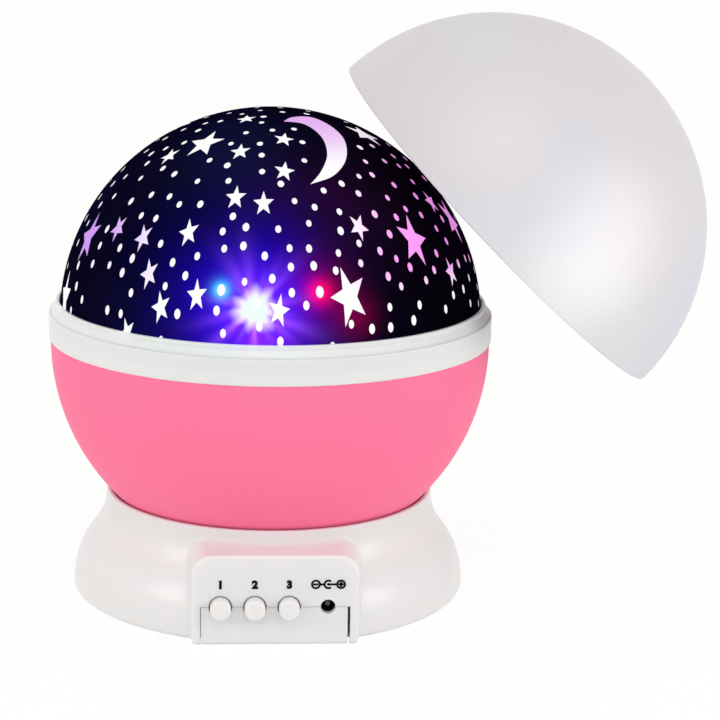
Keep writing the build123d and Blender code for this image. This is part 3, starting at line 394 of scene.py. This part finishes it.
class Print:
    """Thin printed shapes on the panel, gathered into one mesh."""

    def __init__(self):
        self.verts = []
        self.faces = []

    def slab(self, corners):
        """A thin plate with the given corners, as x and height, anticlockwise from the front."""
        start = len(self.verts)
        count = len(corners)
        front = panel_face - print_lift - print_thickness
        for y in (front, front + print_thickness):
            self.verts += [(x, y, z) for x, z in corners]
        self.faces.append([start + i for i in range(count)])
        self.faces.append([start + count + i for i in reversed(range(count))])
        for i in range(count):
            j = (i + 1) % count
            self.faces.append([start + j, start + i, start + count + i, start + count + j])

    def bar(self, x, z, width, height):
        self.slab(
            [
                (x - width / 2, z - height / 2),
                (x + width / 2, z - height / 2),
                (x + width / 2, z + height / 2),
                (x - width / 2, z + height / 2),
            ]
        )

    def bow(self, x, z, radius, first, last):
        """A stroke along part of a circle, between two angles in degrees."""
        steps = max(2, round(symbol_steps * (last - first) / 360))
        for i in range(steps):
            a = math.radians(first + (last - first) * i / steps)
            b = math.radians(first + (last - first) * (i + 1) / steps)
            inner, outer = radius - print_stroke / 2, radius + print_stroke / 2
            self.slab(
                [
                    (x + inner * math.cos(a), z + inner * math.sin(a)),
                    (x + outer * math.cos(a), z + outer * math.sin(a)),
                    (x + outer * math.cos(b), z + outer * math.sin(b)),
                    (x + inner * math.cos(b), z + inner * math.sin(b)),
                ]
            )

    def disc(self, x, z, radius):
        ring = [2 * math.pi * i / symbol_steps for i in range(symbol_steps)]
        self.slab([(x + radius * math.cos(a), z + radius * math.sin(a)) for a in ring])

    def numeral(self, text, x, z):
        """A bold numeral, standing upright on the panel, centred on x."""
        curve = bpy.data.curves.new("numeral", "FONT")
        curve.body = text
        curve.extrude = numeral_extrude
        curve.offset = numeral_offset
        holder = bpy.data.objects.new("numeral", curve)
        bpy.context.scene.collection.objects.link(holder)
        graph = bpy.context.evaluated_depsgraph_get()
        mesh = bpy.data.meshes.new_from_object(holder.evaluated_get(graph))
        bpy.data.objects.remove(holder)
        xs = [v.co.x for v in mesh.vertices]
        ys = [v.co.y for v in mesh.vertices]
        scale = numeral_height / (max(ys) - min(ys))
        middle = (max(xs) + min(xs)) / 2
        start = len(self.verts)
        front = panel_face - print_lift - print_thickness
        for v in mesh.vertices:
            y = front if v.co.z > 0 else front + print_thickness
            self.verts.append(
                (x + (v.co.x - middle) * scale, y, z + (v.co.y - min(ys)) * scale)
            )
        self.faces += [[start + i for i in p.vertices] for p in mesh.polygons]
        bpy.data.meshes.remove(mesh)

    def piece(self, name):
        mesh = bpy.data.meshes.new(name)
        mesh.from_pydata(self.verts, [], self.faces)
        mesh.validate()
        piece = bpy.data.objects.new(name, mesh)
        bpy.context.scene.collection.objects.link(piece)
        return piece


labels = Print()
for number, centre in enumerate(button_centres, start=1):
    labels.numeral(str(number), centre.x, centre.z + numeral_rise - numeral_height / 2)
# the usual plug diagram: minus outside, plus at the pin
symbol_z = socket_centre.z + numeral_rise
symbol_x = socket_centre.x
end_x = symbol_half_width - symbol_ring
ring_middle = symbol_ring - print_stroke / 2
sign_length = symbol_ring * symbol_sign_share
for side in (-1, 1):
    labels.bow(symbol_x + side * end_x, symbol_z, ring_middle, 0, 360)
    labels.bar(symbol_x + side * end_x, symbol_z, sign_length, print_stroke)
labels.bar(symbol_x + end_x, symbol_z, print_stroke, sign_length)
labels.bow(symbol_x, symbol_z, ring_middle, *symbol_socket_bow)
labels.disc(symbol_x, symbol_z, symbol_pin_radius)
labels.bar(symbol_x - end_x / 2, symbol_z, end_x - 2 * symbol_ring + print_stroke, print_stroke)
labels.bar(symbol_x + (end_x - symbol_ring) / 2, symbol_z, end_x - symbol_ring, print_stroke)
panel_print = labels.piece("panel_print")
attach(panel_print, "base")

# ------------------------------------------------------------------ material building


class Tree:
    """The nodes of one material."""

    def __init__(self, name):
        self.material = bpy.data.materials.new(name)
        self.material.use_nodes = True
        self.tree = self.material.node_tree
        self.tree.nodes.clear()

    def node(self, kind, inputs=None, **settings):
        """Add a node. An input is a plain value, or the output socket that feeds it."""
        node = self.tree.nodes.new(kind)
        for key, value in settings.items():
            setattr(node, key, value)
        for key, value in (inputs or {}).items():
            if isinstance(value, bpy.types.NodeSocket):
                self.tree.links.new(value, node.inputs[key])
            else:
                node.inputs[key].default_value = value
        return node

    def place(self):
        return self.node("ShaderNodeTexCoord").outputs["Object"]

    def world_place(self):
        return self.node("ShaderNodeNewGeometry").outputs["Position"]

    def noise(self, place, scale, detail=2.0, roughness=0.5):
        """Soft noise from 0 to 1, with this many waves to a metre."""
        inputs = {"Vector": place, "Scale": scale, "Detail": detail, "Roughness": roughness}
        return self.node("ShaderNodeTexNoise", inputs).outputs["Fac"]

    def cells(self, place, scale):
        inputs = {"Vector": place, "Scale": scale}
        return self.node("ShaderNodeTexVoronoi", inputs).outputs["Distance"]

    def sum(self, operation, first, second=0.0, third=0.0):
        inputs = {0: first, 1: second, 2: third}
        return self.node("ShaderNodeMath", inputs, operation=operation).outputs[0]

    def between(self, value, low, high, to_low=0.0, to_high=1.0):
        """Map a value smoothly from one range to another, without passing its ends."""
        inputs = {0: value, 1: low, 2: high, 3: to_low, 4: to_high}
        node = self.node("ShaderNodeMapRange", inputs, interpolation_type="SMOOTHSTEP")
        return node.outputs[0]

    def vector(self, operation, first, second):
        inputs = {0: first, 1: second}
        return self.node("ShaderNodeVectorMath", inputs, operation=operation).outputs[0]

    def dot(self, first, second):
        inputs = {0: first, 1: second}
        return self.node("ShaderNodeVectorMath", inputs, operation="DOT_PRODUCT").outputs["Value"]

    def length(self, vector):
        return self.node("ShaderNodeVectorMath", {0: vector}, operation="LENGTH").outputs["Value"]

    def scaled(self, colour, amount):
        inputs = {0: colour[:3] if isinstance(colour, tuple) else colour, "Scale": amount}
        return self.node("ShaderNodeVectorMath", inputs, operation="SCALE").outputs[0]

    def mixed(self, share, first, second):
        node = self.node("ShaderNodeMix", {0: share}, data_type="RGBA")
        for key, value in (("A", first), ("B", second)):
            socket = next(s for s in node.inputs if s.name == key and s.type == "RGBA")
            if isinstance(value, bpy.types.NodeSocket):
                self.tree.links.new(value, socket)
            else:
                socket.default_value = value
        return next(s for s in node.outputs if s.type == "RGBA")

    def bump(self, height, strength, distance):
        inputs = {"Height": height, "Strength": strength, "Distance": distance}
        return self.node("ShaderNodeBump", inputs).outputs["Normal"]

    def principled(self, inputs):
        return self.node("ShaderNodeBsdfPrincipled", inputs).outputs["BSDF"]

    def show(self, shader):
        self.node("ShaderNodeOutputMaterial", {"Surface": shader})
        return self.material


def colour(red, green, blue):
    return (red, green, blue, 1.0)


# waves to a metre, in moulded plastic
tone_waves = 9.0
gloss_waves = 26.0
grain_waves = 2600.0
gloss_swing = 0.02
grain_strength = 0.006
grain_depth = 0.0002
coat_rough = 0.10
light_reach = (0.004, 0.003, 0.003)  # of red, green and blue light inside the plastic
black = (0.0, 0.0, 0.0)


def moulded(name, tone, shade, rough, specular=0.5, coat=0.0, depth=0.0, glow=black):
    """Moulded plastic: slow, faint drifts of tone and gloss, a fine spark-eroded grain, and a
    painted glow where one is given.
    """
    t = Tree(name)
    place = t.place()
    drift = t.noise(place, tone_waves, 0.0)
    grain = t.noise(place, grain_waves)
    swing = t.noise(place, gloss_waves, 0.0)
    gloss = t.sum("MULTIPLY_ADD", swing, 2 * gloss_swing, rough - gloss_swing)
    return t.show(
        t.principled(
            {
                "Base Color": t.mixed(drift, tone, shade),
                "Roughness": gloss,
                "Normal": t.bump(grain, grain_strength, grain_depth),
                "Coat Weight": coat,
                "Coat Roughness": coat_rough,
                "Specular IOR Level": specular,
                "Subsurface Weight": depth,
                "Subsurface Radius": light_reach,
                "Subsurface Scale": 1.0,
                "Emission Color": colour(*glow),
                "Emission Strength": 1.0,
            }
        )
    )


metal_waves = 400.0
metal_line_waves = 3200.0
metal_drawn = (1.0, 1.0, 0.06)  # the lines run along Z


def metal(name, tone, shade, rough):
    """Plated or drawn metal: fine lines along Z, clouds in the gloss."""
    t = Tree(name)
    place = t.place()
    lines = t.noise(t.vector("MULTIPLY", place, metal_drawn), metal_line_waves, 3.0)
    clouds = t.noise(place, metal_waves, 3.0)
    gloss = t.between(clouds, 0.3, 0.7, rough - 0.07, rough + 0.1)
    return t.show(
        t.principled(
            {
                "Base Color": t.mixed(clouds, tone, shade),
                "Metallic": 1.0,
                "Roughness": gloss,
                "Normal": t.bump(lines, 0.08, 0.0001),
            }
        )
    )


cover_cool = colour(0.630, 0.642, 0.705)
cover_warm = colour(0.690, 0.646, 0.660)
cover_pale = colour(0.690, 0.684, 0.684)
cover_painted_shade_span = (0.092, 0.122)  # x over which painted shade darkens the cover's outer side
cover_painted_shade = 0.965
cover_painted_glow_heights = (0.150, 0.085)  # heights over which the painted glow in the cover sets in, downwards
cover_painted_glow = 0.060
# centre, reach and painted light of each bright patch in the cover
cover_painted_light_patches = (
    ((0.090, -0.035, 0.108), 0.030, 0.150),
    ((0.079, -0.035, 0.096), 0.026, 0.090),
    ((0.060, -0.034, 0.140), 0.024, 0.030),
)


def milky_cover():
    """Milky plastic of the night cover: pearly clouds, painted shade on its outer side, and painted
    glow that gathers in its lower part.
    """
    t = Tree("milky_cover")
    place = t.place()
    tints = t.between(t.noise(place, 17.0, 1.0, 0.4), 0.40, 0.60)
    clouds = t.between(t.noise(place, 11.0, 1.0, 0.4), 0.38, 0.62)
    body = t.mixed(clouds, t.mixed(tints, cover_cool, cover_warm), cover_pale)
    parts = t.node("ShaderNodeSeparateXYZ", {0: place}).outputs
    # painted shade: the colour of the cover's outer side is darkened
    painted_side_shade = t.between(parts[0], *cover_painted_shade_span, 1.0, cover_painted_shade)
    # painted glow: light painted into the cover, strongest low down and in bright patches
    painted_glow = t.between(parts[2], *cover_painted_glow_heights, 0.0, cover_painted_glow)
    for centre, reach, light in cover_painted_light_patches:
        away = t.length(t.vector("SUBTRACT", place, centre))
        painted_glow = t.sum("ADD", painted_glow, t.between(away, reach, 0.0, 0.0, light))
    painted_glow = t.sum("MULTIPLY", painted_glow, t.between(clouds, 0.0, 1.0, 0.85, 1.1))
    grain = t.noise(place, 1500.0, 2.0)
    return t.show(
        t.principled(
            {
                "Base Color": t.scaled(body, painted_side_shade),
                "Roughness": t.between(t.noise(place, 30.0, 1.0), 0.3, 0.7, 0.38, 0.44),
                "Normal": t.bump(grain, 0.01, 0.0002),
                "Specular IOR Level": 0.3,
                "Emission Color": t.scaled((1.0, 0.985, 0.99), painted_glow),
                "Emission Strength": 1.0,
            }
        )
    )


def clear_dome():
    """Clear polished dome under the print: almost unseen but for a soft gloss."""
    t = Tree("clear_dome")
    place = t.place()
    rim = t.sum("MULTIPLY", t.node("ShaderNodeFresnel", {"IOR": 1.14}).outputs[0], 0.16)
    haze = t.between(t.noise(place, 35.0, 2.0), 0.3, 0.7, 0.10, 0.20)
    gloss = t.node("ShaderNodeBsdfGlossy", {"Color": colour(1, 1, 1), "Roughness": haze})
    clear = t.node("ShaderNodeBsdfTransparent", {"Color": colour(0.985, 0.985, 0.99)})
    mix = t.node("ShaderNodeMixShader", {0: rim, 1: clear.outputs[0], 2: gloss.outputs[0]})
    return t.show(mix.outputs[0])


def dome_point(place):
    return tuple(dome_centre + ball_direction(*place) * mask_radius)


def round_glow(t, distance, reach):
    """Bell-shaped fall with distance."""
    share = t.sum("DIVIDE", distance, reach)
    return t.sum("EXPONENT", t.sum("MULTIPLY", t.sum("MULTIPLY", share, share), -1.0))


# x over which the blooms round the flare fade towards the right, and what is left of them there
wide_fade = (0.034, 0.004, 0.12, 1.0)
near_fade = (0.018, 0.002, 0.28, 1.0)
# reach and tint of the blooms round the flare
wide_bloom = (0.0260, (0.004, 0.0004, 0.135))
near_bloom = (0.0150, (0.020, 0.0, 0.92))
close_bloom = (0.0085, (0.16, 0.018, 0.30))
# place, reach and tint of the faint clouds of light elsewhere on the film
film_hazes = (
    ((-22.0, 60.0), 0.0160, (0.0020, 0.0035, 0.0200)),
    ((15.0, 41.0), 0.0150, (0.0130, 0.0001, 0.0100)),
    ((-3.0, 4.5), 0.0070, (0.1500, 0.0100, 0.2000)),
    ((20.0, 12.5), 0.0055, (0.1500, 0.0000, 0.0150)),
)
# place, reach and tint of the halos round the lit dots
dot_halos = (
    (red_place, 0.0080, (0.15, 0.0, 0.0)),
    (red_place, 0.0031, (1.10, 0.0, 0.03)),
    (cyan_place, 0.0027, (0.0, 0.30, 0.40)),
    (cyan_place, 0.0017, (0.1, 0.80, 0.60)),
)
# waves round the flare, sharpness, phase, reach and tint of each set of rays
flare_rays = (
    (1.5, 40.0, 0.5, 0.0135, (0.16, 0.04, 0.34)),
    (2.5, 24.0, 0.9, 0.0125, (0.16, 0.04, 0.34)),
    (3.5, 16.0, 2.3, 0.0092, (0.26, 0.07, 0.46)),
    (6.5, 5.0, 0.7, 0.0064, (0.20, 0.12, 0.40)),
)
# waves round the flare, phase and depth of its ragged edge
flare_rags = ((3.0, 2.6, 0.09), (7.0, 0.3, 0.08), (11.0, 2.0, 0.07))
flare_fringe = (0.0068, 0.0028)
flare_heart = (0.0045, 0.0026)
fringe_tint = colour(0.98, 0.78, 1.0)
heart_tint = colour(0.86, 1.0, 0.94)


def glow_on_film(t, place):
    """Light of the lamp's diodes in the dark film: a wide blue bloom and a ragged white flare
    for the white one, and a halo each for the red and the cyan one."""
    sideways = t.node("ShaderNodeSeparateXYZ", {0: place}).outputs[0]
    clouds = t.between(t.noise(place, 48.0, 3.0), 0.30, 0.70, 0.72, 1.25)
    away = t.vector("SUBTRACT", place, dome_point(flare_place))
    distance = t.length(away)
    wide_share = t.sum("MULTIPLY", t.between(sideways, *wide_fade), clouds)
    near_share = t.between(sideways, *near_fade)
    parts = []
    for (reach, tint), share in (
        (wide_bloom, wide_share),
        (near_bloom, near_share),
        (close_bloom, 1.0),
    ):
        parts.append((tint, t.sum("MULTIPLY", round_glow(t, distance, reach), share)))
    for centre, reach, tint in film_hazes:
        haze = round_glow(t, t.length(t.vector("SUBTRACT", place, dome_point(centre))), reach)
        parts.append((tint, t.sum("MULTIPLY", haze, clouds)))
    for centre, reach, tint in dot_halos:
        to_dot = t.length(t.vector("SUBTRACT", place, dome_point(centre)))
        parts.append((tint, round_glow(t, to_dot, reach)))
    # rays and ragged edge of the flare, by the angle round its centre
    _, level, up = ball_frame(*flare_place)
    angle = t.sum("ARCTAN2", t.dot(away, tuple(up)), t.dot(away, tuple(level)))
    for count, sharp, phase, reach, tint in flare_rays:
        wave = t.sum("COSINE", t.sum("MULTIPLY_ADD", angle, count, phase))
        ray = t.sum("POWER", t.sum("ABSOLUTE", wave), sharp)
        parts.append((tint, t.sum("MULTIPLY", ray, round_glow(t, distance, reach))))
    total = None
    for tint, share in parts:
        lit = t.scaled(tint, share)
        total = lit if total is None else t.vector("ADD", total, lit)
    ragged = 1.0
    for count, phase, depth in flare_rags:
        wave = t.sum("COSINE", t.sum("MULTIPLY_ADD", angle, count, phase))
        ragged = t.sum("MULTIPLY_ADD", wave, depth, ragged)
    from_heart = t.sum("DIVIDE", distance, ragged)
    fringe = t.between(from_heart, *flare_fringe)
    heart = t.between(from_heart, *flare_heart)
    return t.mixed(heart, t.mixed(fringe, total, fringe_tint), heart_tint)


# painted glow of the diodes' light in the film, bluish at the left and faint at the right
film_left_glow = colour(0.0012, 0.0010, 0.0120)
film_right_glow = colour(0.0012, 0.0002, 0.0022)
film_side = (-0.030, 0.035)  # x over which the left glow gives way to the right one


def star_film():
    """Black printed film, lit from inside near the diodes."""
    t = Tree("star_film")
    place = t.world_place()
    own = t.place()
    ink = t.between(t.noise(own, 30.0, 3.0), 0.35, 0.65)
    sideways = t.node("ShaderNodeSeparateXYZ", {0: place}).outputs[0]
    far_glow = t.mixed(t.between(sideways, *film_side), film_left_glow, film_right_glow)
    cloud = t.between(t.noise(own, 42.0, 4.0, 0.6), 0.45, 0.75, 0.7, 1.7)
    glow = t.vector("ADD", glow_on_film(t, place), t.scaled(far_glow, cloud))
    dark, less_dark = colour(0.0010, 0.0008, 0.0018), colour(0.002, 0.0015, 0.003)
    return t.show(
        t.principled(
            {
                "Base Color": t.mixed(ink, dark, less_dark),
                "Roughness": t.between(t.noise(own, 220.0, 2.0), 0.3, 0.7, 0.42, 0.55),
                "Specular IOR Level": 0.0,
                "Emission Color": glow,
                "Emission Strength": 1.0,
            }
        )
    )


# colours of the painted light in the lit windows
window_white = colour(1.0, 0.985, 1.0)
window_pink = colour(0.96, 0.34, 0.92)
window_lilac = colour(0.58, 0.29, 0.84)
moon_tint = colour(0.74, 0.41, 0.84)
window_base_share = 0.45
window_light = 0.62
# where the tints of the painted light set in, as shares of the dome's radius from its centre
band_foot = (0.22, 0.40)
band_top = (0.93, 0.80)
pink_from = (0.25, 0.56)
lilac_from = (-0.42, -0.82)
moon_tint_from = (0.78, 0.98)
dot_lilac_depth = 0.25


def window_material(name, lilac_depth=1.0, own_tint=None):
    """Milky windows lit with painted light. In a band of heights the painted light is pink at the
    right and lilac at the left, and all others are white. One with a tint of its own takes it on
    towards the crown."""
    t = Tree(name)
    place = t.world_place()
    own = t.place()
    parts = t.node("ShaderNodeSeparateXYZ", {0: place})
    x = t.sum("DIVIDE", parts.outputs[0], mask_radius)
    z = t.sum("DIVIDE", t.sum("SUBTRACT", parts.outputs[2], dome_centre.z), mask_radius)
    if own_tint is None:
        band = t.sum("MULTIPLY", t.between(z, *band_foot), t.between(z, *band_top))
        pink_share = t.sum("MULTIPLY", t.between(x, *pink_from), band)
        lilac_share = t.sum("MULTIPLY", t.between(x, *lilac_from, 0.0, lilac_depth), band)
        tint = t.mixed(pink_share, window_white, window_pink)
        tint = t.mixed(lilac_share, tint, window_lilac)
    else:
        tint = t.mixed(t.between(z, *moon_tint_from), window_white, own_tint)
    milk = t.between(t.noise(own, 120.0, 3.0), 0.3, 0.7, 0.94, 1.0)
    lit = t.scaled(tint, milk)
    return t.show(
        t.principled(
            {
                "Base Color": t.scaled(lit, window_base_share),
                "Roughness": 0.5,
                "Specular IOR Level": 0.05,
                "Emission Color": lit,
                "Emission Strength": window_light,
            }
        )
    )


def printed_ink():
    t = Tree("printed_ink")
    place = t.place()
    fibres = t.noise(place, 3000.0, 3.0)
    tone = t.mixed(fibres, colour(0.003, 0.003, 0.003), colour(0.008, 0.008, 0.008))
    return t.show(
        t.principled({"Base Color": tone, "Roughness": 0.5, "Specular IOR Level": 0.05})
    )


def circuit_board():
    """Green lacquer over copper tracks."""
    t = Tree("circuit_board")
    place = t.place()
    tracks = t.node(
        "ShaderNodeTexBrick",
        {
            "Vector": place,
            "Scale": 220.0,
            "Mortar Size": 0.03,
            "Color1": colour(0.010, 0.13, 0.045),
            "Color2": colour(0.014, 0.16, 0.055),
            "Mortar": colour(0.035, 0.27, 0.10),
        },
    )
    pads = t.between(t.cells(place, 420.0), 0.12, 0.16)
    tone = t.mixed(pads, colour(0.62, 0.60, 0.55), tracks.outputs[0])
    return t.show(
        t.principled(
            {
                "Base Color": tone,
                "Roughness": t.between(t.noise(place, 300.0), 0.3, 0.7, 0.29, 0.4),
                "Normal": t.bump(tracks.outputs[1], 0.2, 0.0001),
            }
        )
    )


def cell_jacket():
    """Printed jacket of the cells: a dark body with a copper-coloured band at one end."""
    t = Tree("cell_jacket")
    place = t.place()
    y = t.node("ShaderNodeSeparateXYZ", {0: place}).outputs[1]
    band = t.between(t.sum("ABSOLUTE", y), 0.0125, 0.0128)
    scuffs = t.noise(place, 500.0, 4.0)
    dark = t.mixed(scuffs, colour(0.012, 0.05, 0.03), colour(0.03, 0.10, 0.06))
    return t.show(
        t.principled(
            {
                "Base Color": t.mixed(band, dark, colour(0.72, 0.42, 0.16)),
                "Metallic": 0.6,
                "Roughness": t.between(scuffs, 0.3, 0.7, 0.29, 0.40),
            }
        )
    )


def diode(name, tone, light):
    """Moulded lens of a light diode, brightest over its chip."""
    t = Tree(name)
    facing = t.node("ShaderNodeLayerWeight", {"Blend": 0.4}).outputs["Facing"]
    heart = t.between(facing, 0.0, 0.9, 1.0, 0.25)
    swirl = t.noise(t.place(), 900.0, 2.0)
    return t.show(
        t.principled(
            {
                "Base Color": t.mixed(swirl, tone, colour(0.9, 0.9, 0.92)),
                "Roughness": 0.15,
                "Emission Color": t.scaled(light, heart),
                "Emission Strength": 3.0,
            }
        )
    )


def pad_foam():
    t = Tree("pad_foam")
    place = t.place()
    pores = t.cells(place, 2600.0)
    tone = t.mixed(pores, colour(0.22, 0.22, 0.23), colour(0.36, 0.36, 0.37))
    return t.show(
        t.principled(
            {
                "Base Color": tone,
                "Roughness": 0.9,
                "Normal": t.bump(pores, 0.5, 0.0003),
            }
        )
    )


materials = {
    "white_plastic": moulded(
        "white_plastic",
        colour(0.818, 0.822, 0.797),
        colour(0.808, 0.814, 0.803),
        rough=0.31,
        specular=0.40,
        coat=0.10,
        depth=0.35,
    ),
    "pink_plastic": moulded(
        "pink_plastic",
        colour(0.955, 0.180, 0.330),
        colour(0.945, 0.185, 0.336),
        rough=0.5,
        specular=0.08,
        # painted glow: the pink plastic gives off faint light of its own, which flattens its
        # shading
        glow=(0.085, 0.020, 0.030),
    ),
    "milky_plastic": milky_cover(),
    "clear_plastic": clear_dome(),
    "star_mask_film": star_film(),
    "black_plastic": moulded(
        "black_plastic",
        colour(0.005, 0.005, 0.006),
        colour(0.010, 0.010, 0.011),
        rough=0.42,
        specular=0.2,
    ),
    "pad_foam": pad_foam(),
    "switch_metal": metal("switch_metal", colour(0.70, 0.70, 0.70), colour(0.60, 0.60, 0.62), 0.36),
    # painted shade: the socket pin's metal is made far darker than brass, to show the shade deep in
    # the socket
    "brass": metal("brass", colour(0.11, 0.095, 0.075), colour(0.07, 0.06, 0.05), 0.40),
    "board": circuit_board(),
    "screw_steel": metal("screw_steel", colour(0.66, 0.66, 0.67), colour(0.52, 0.52, 0.54), 0.36),
    "cell_jacket": cell_jacket(),
    "contact_nickel": metal(
        "contact_nickel", colour(0.68, 0.66, 0.62), colour(0.58, 0.56, 0.52), 0.36
    ),
    "motor_can": metal("motor_can", colour(0.72, 0.73, 0.75), colour(0.60, 0.61, 0.63), 0.36),
    "gear_plastic": moulded(
        "gear_plastic", colour(0.74, 0.70, 0.60), colour(0.80, 0.77, 0.68), 0.42
    ),
    "led_white": diode("led_white", colour(0.9, 0.9, 0.95), (0.8, 0.88, 1.0)),
    "led_red": diode("led_red", colour(0.8, 0.1, 0.1), (1.0, 0.08, 0.12)),
    "led_green": diode("led_green", colour(0.1, 0.7, 0.2), (0.1, 1.0, 0.25)),
    "led_blue": diode("led_blue", colour(0.1, 0.3, 0.8), (0.1, 0.5, 1.0)),
    "lead_jacket": moulded("lead_jacket", colour(0.55, 0.03, 0.03), colour(0.42, 0.02, 0.03), 0.5),
}


def dress(piece, material):
    """Give a piece its one material."""
    if not piece.material_slots:
        piece.data.materials.append(material)
    for held in piece.material_slots:
        held.material = material


for row in frame["record"]["subparts"]:
    dress(frame["nodes"][row["node"]], materials[row["material_slot"]])
dress(star_print, materials["star_mask_film"])
dress(star_windows, window_material("star_window"))
dress(dot_windows, window_material("dot_window", lilac_depth=dot_lilac_depth))
dress(moon_window, window_material("moon_window", own_tint=moon_tint))
dress(panel_print, printed_ink())

# ------------------------------------------------------------------ studio
floor_size = 8.0
floor_show = 0.93  # share of plain white that the floor shows besides its own shading
floor_white = 1.01
background_white = colour(1.0, 1.0, 0.985)
world_light = 0.72
world_white = 1.0
floor_lift = 0.00005  # the floor lies this little over the lamp's underside
floor_hole = 0.044  # radius of the opening under the lamp, which lets light up to its underside
floor_hole_corners = 48


def white_to_eyes(tree, links, first, second):
    """Show the second shader to the camera, mirrors and glass, and the first to all other rays."""
    path = tree.nodes.new("ShaderNodeLightPath")
    share = path.outputs["Is Camera Ray"]
    for name in ("Is Glossy Ray", "Is Transmission Ray"):
        node = tree.nodes.new("ShaderNodeMath")
        node.operation = "MAXIMUM"
        links.new(share, node.inputs[0])
        links.new(path.outputs[name], node.inputs[1])
        share = node.outputs[0]
    mix = tree.nodes.new("ShaderNodeMixShader")
    links.new(share, mix.inputs[0])
    links.new(first, mix.inputs[1])
    links.new(second, mix.inputs[2])
    return mix.outputs[0]


floor_mesh = bpy.data.meshes.new("studio_floor")
half = floor_size / 2
floor_verts, floor_faces = [], []
for i in range(floor_hole_corners):
    angle = 2 * math.pi * i / floor_hole_corners
    x, y = math.cos(angle), math.sin(angle)
    for reach in (floor_hole, half / max(abs(x), abs(y))):
        floor_verts.append((x * reach, y * reach, floor_lift))
    here, there = 2 * i, 2 * ((i + 1) % floor_hole_corners)
    floor_faces.append((here, here + 1, there + 1, there))
floor_mesh.from_pydata(floor_verts, [], floor_faces)
studio_floor = bpy.data.objects.new("studio_floor", floor_mesh)
bpy.context.scene.collection.objects.link(studio_floor)
t = Tree("studio_floor")
paper = t.mixed(t.noise(t.place(), 6.0), colour(0.90, 0.90, 0.895), colour(0.92, 0.92, 0.915))
matt = t.node("ShaderNodeBsdfDiffuse", {"Color": paper}).outputs[0]
glow = {"Color": background_white, "Strength": floor_white}
white = t.node("ShaderNodeEmission", glow).outputs[0]
seen = t.node("ShaderNodeMixShader", {0: floor_show, 1: matt, 2: white}).outputs[0]
# from below the floor is clear, so that the underside shows
above = white_to_eyes(t.tree, t.tree.links, matt, seen)
from_below = t.node("ShaderNodeNewGeometry").outputs["Backfacing"]
clear = t.node("ShaderNodeBsdfTransparent").outputs[0]
floor_look = t.node("ShaderNodeMixShader", {0: from_below, 1: above, 2: clear}).outputs[0]
dress(studio_floor, t.show(floor_look))

world = bpy.data.worlds.new("studio_world")
bpy.context.scene.world = world
world.use_nodes = True
world.node_tree.nodes.clear()
skies = []
for sky_colour, strength in ((colour(1.0, 1.0, 1.0), world_light), (background_white, world_white)):
    sky = world.node_tree.nodes.new("ShaderNodeBackground")
    sky.inputs["Color"].default_value = sky_colour
    sky.inputs["Strength"].default_value = strength
    skies.append(sky.outputs[0])
world_out = world.node_tree.nodes.new("ShaderNodeOutputWorld")
links = world.node_tree.links
links.new(white_to_eyes(world.node_tree, links, *skies), world_out.inputs["Surface"])


lamp_aim = (0.02, 0, 0.06)


def lamp(name, place, size, power):
    """A soft square lamp that faces the object."""
    data = bpy.data.lights.new(name, "AREA")
    data.shape = "SQUARE"
    data.size = size
    data.energy = power
    holder = bpy.data.objects.new(name, data)
    holder.location = place
    holder.rotation_euler = (Vector(place) - Vector(lamp_aim)).to_track_quat("Z", "Y").to_euler()
    bpy.context.scene.collection.objects.link(holder)


lamp("key_lamp", (-1.10, -0.56, 0.56), size=0.5, power=3.5)
lamp("fill_lamp", (1.13, -0.56, 0.40), size=0.5, power=3.6)
lamp("top_lamp", (0.0, -0.75, 1.10), size=0.7, power=1.9)

# ------------------------------------------------------------------ camera
camera_place = (-0.02419, -0.66651, 0.22532)
camera_turn = (76.546, -1.067, -4.014)  # degrees
camera_lens = 120.33
camera_sensor = 36.0

camera_data = bpy.data.cameras.new("camera")
camera_data.lens = camera_lens
camera_data.sensor_width = camera_sensor
camera_data.clip_start = 0.01
camera_data.clip_end = 50.0
camera = bpy.data.objects.new("camera", camera_data)
camera.location = camera_place
camera.rotation_euler = Euler([math.radians(a) for a in camera_turn])
bpy.context.scene.collection.objects.link(camera)
bpy.context.scene.camera = camera

bpy.context.scene.view_settings.view_transform = "Standard"
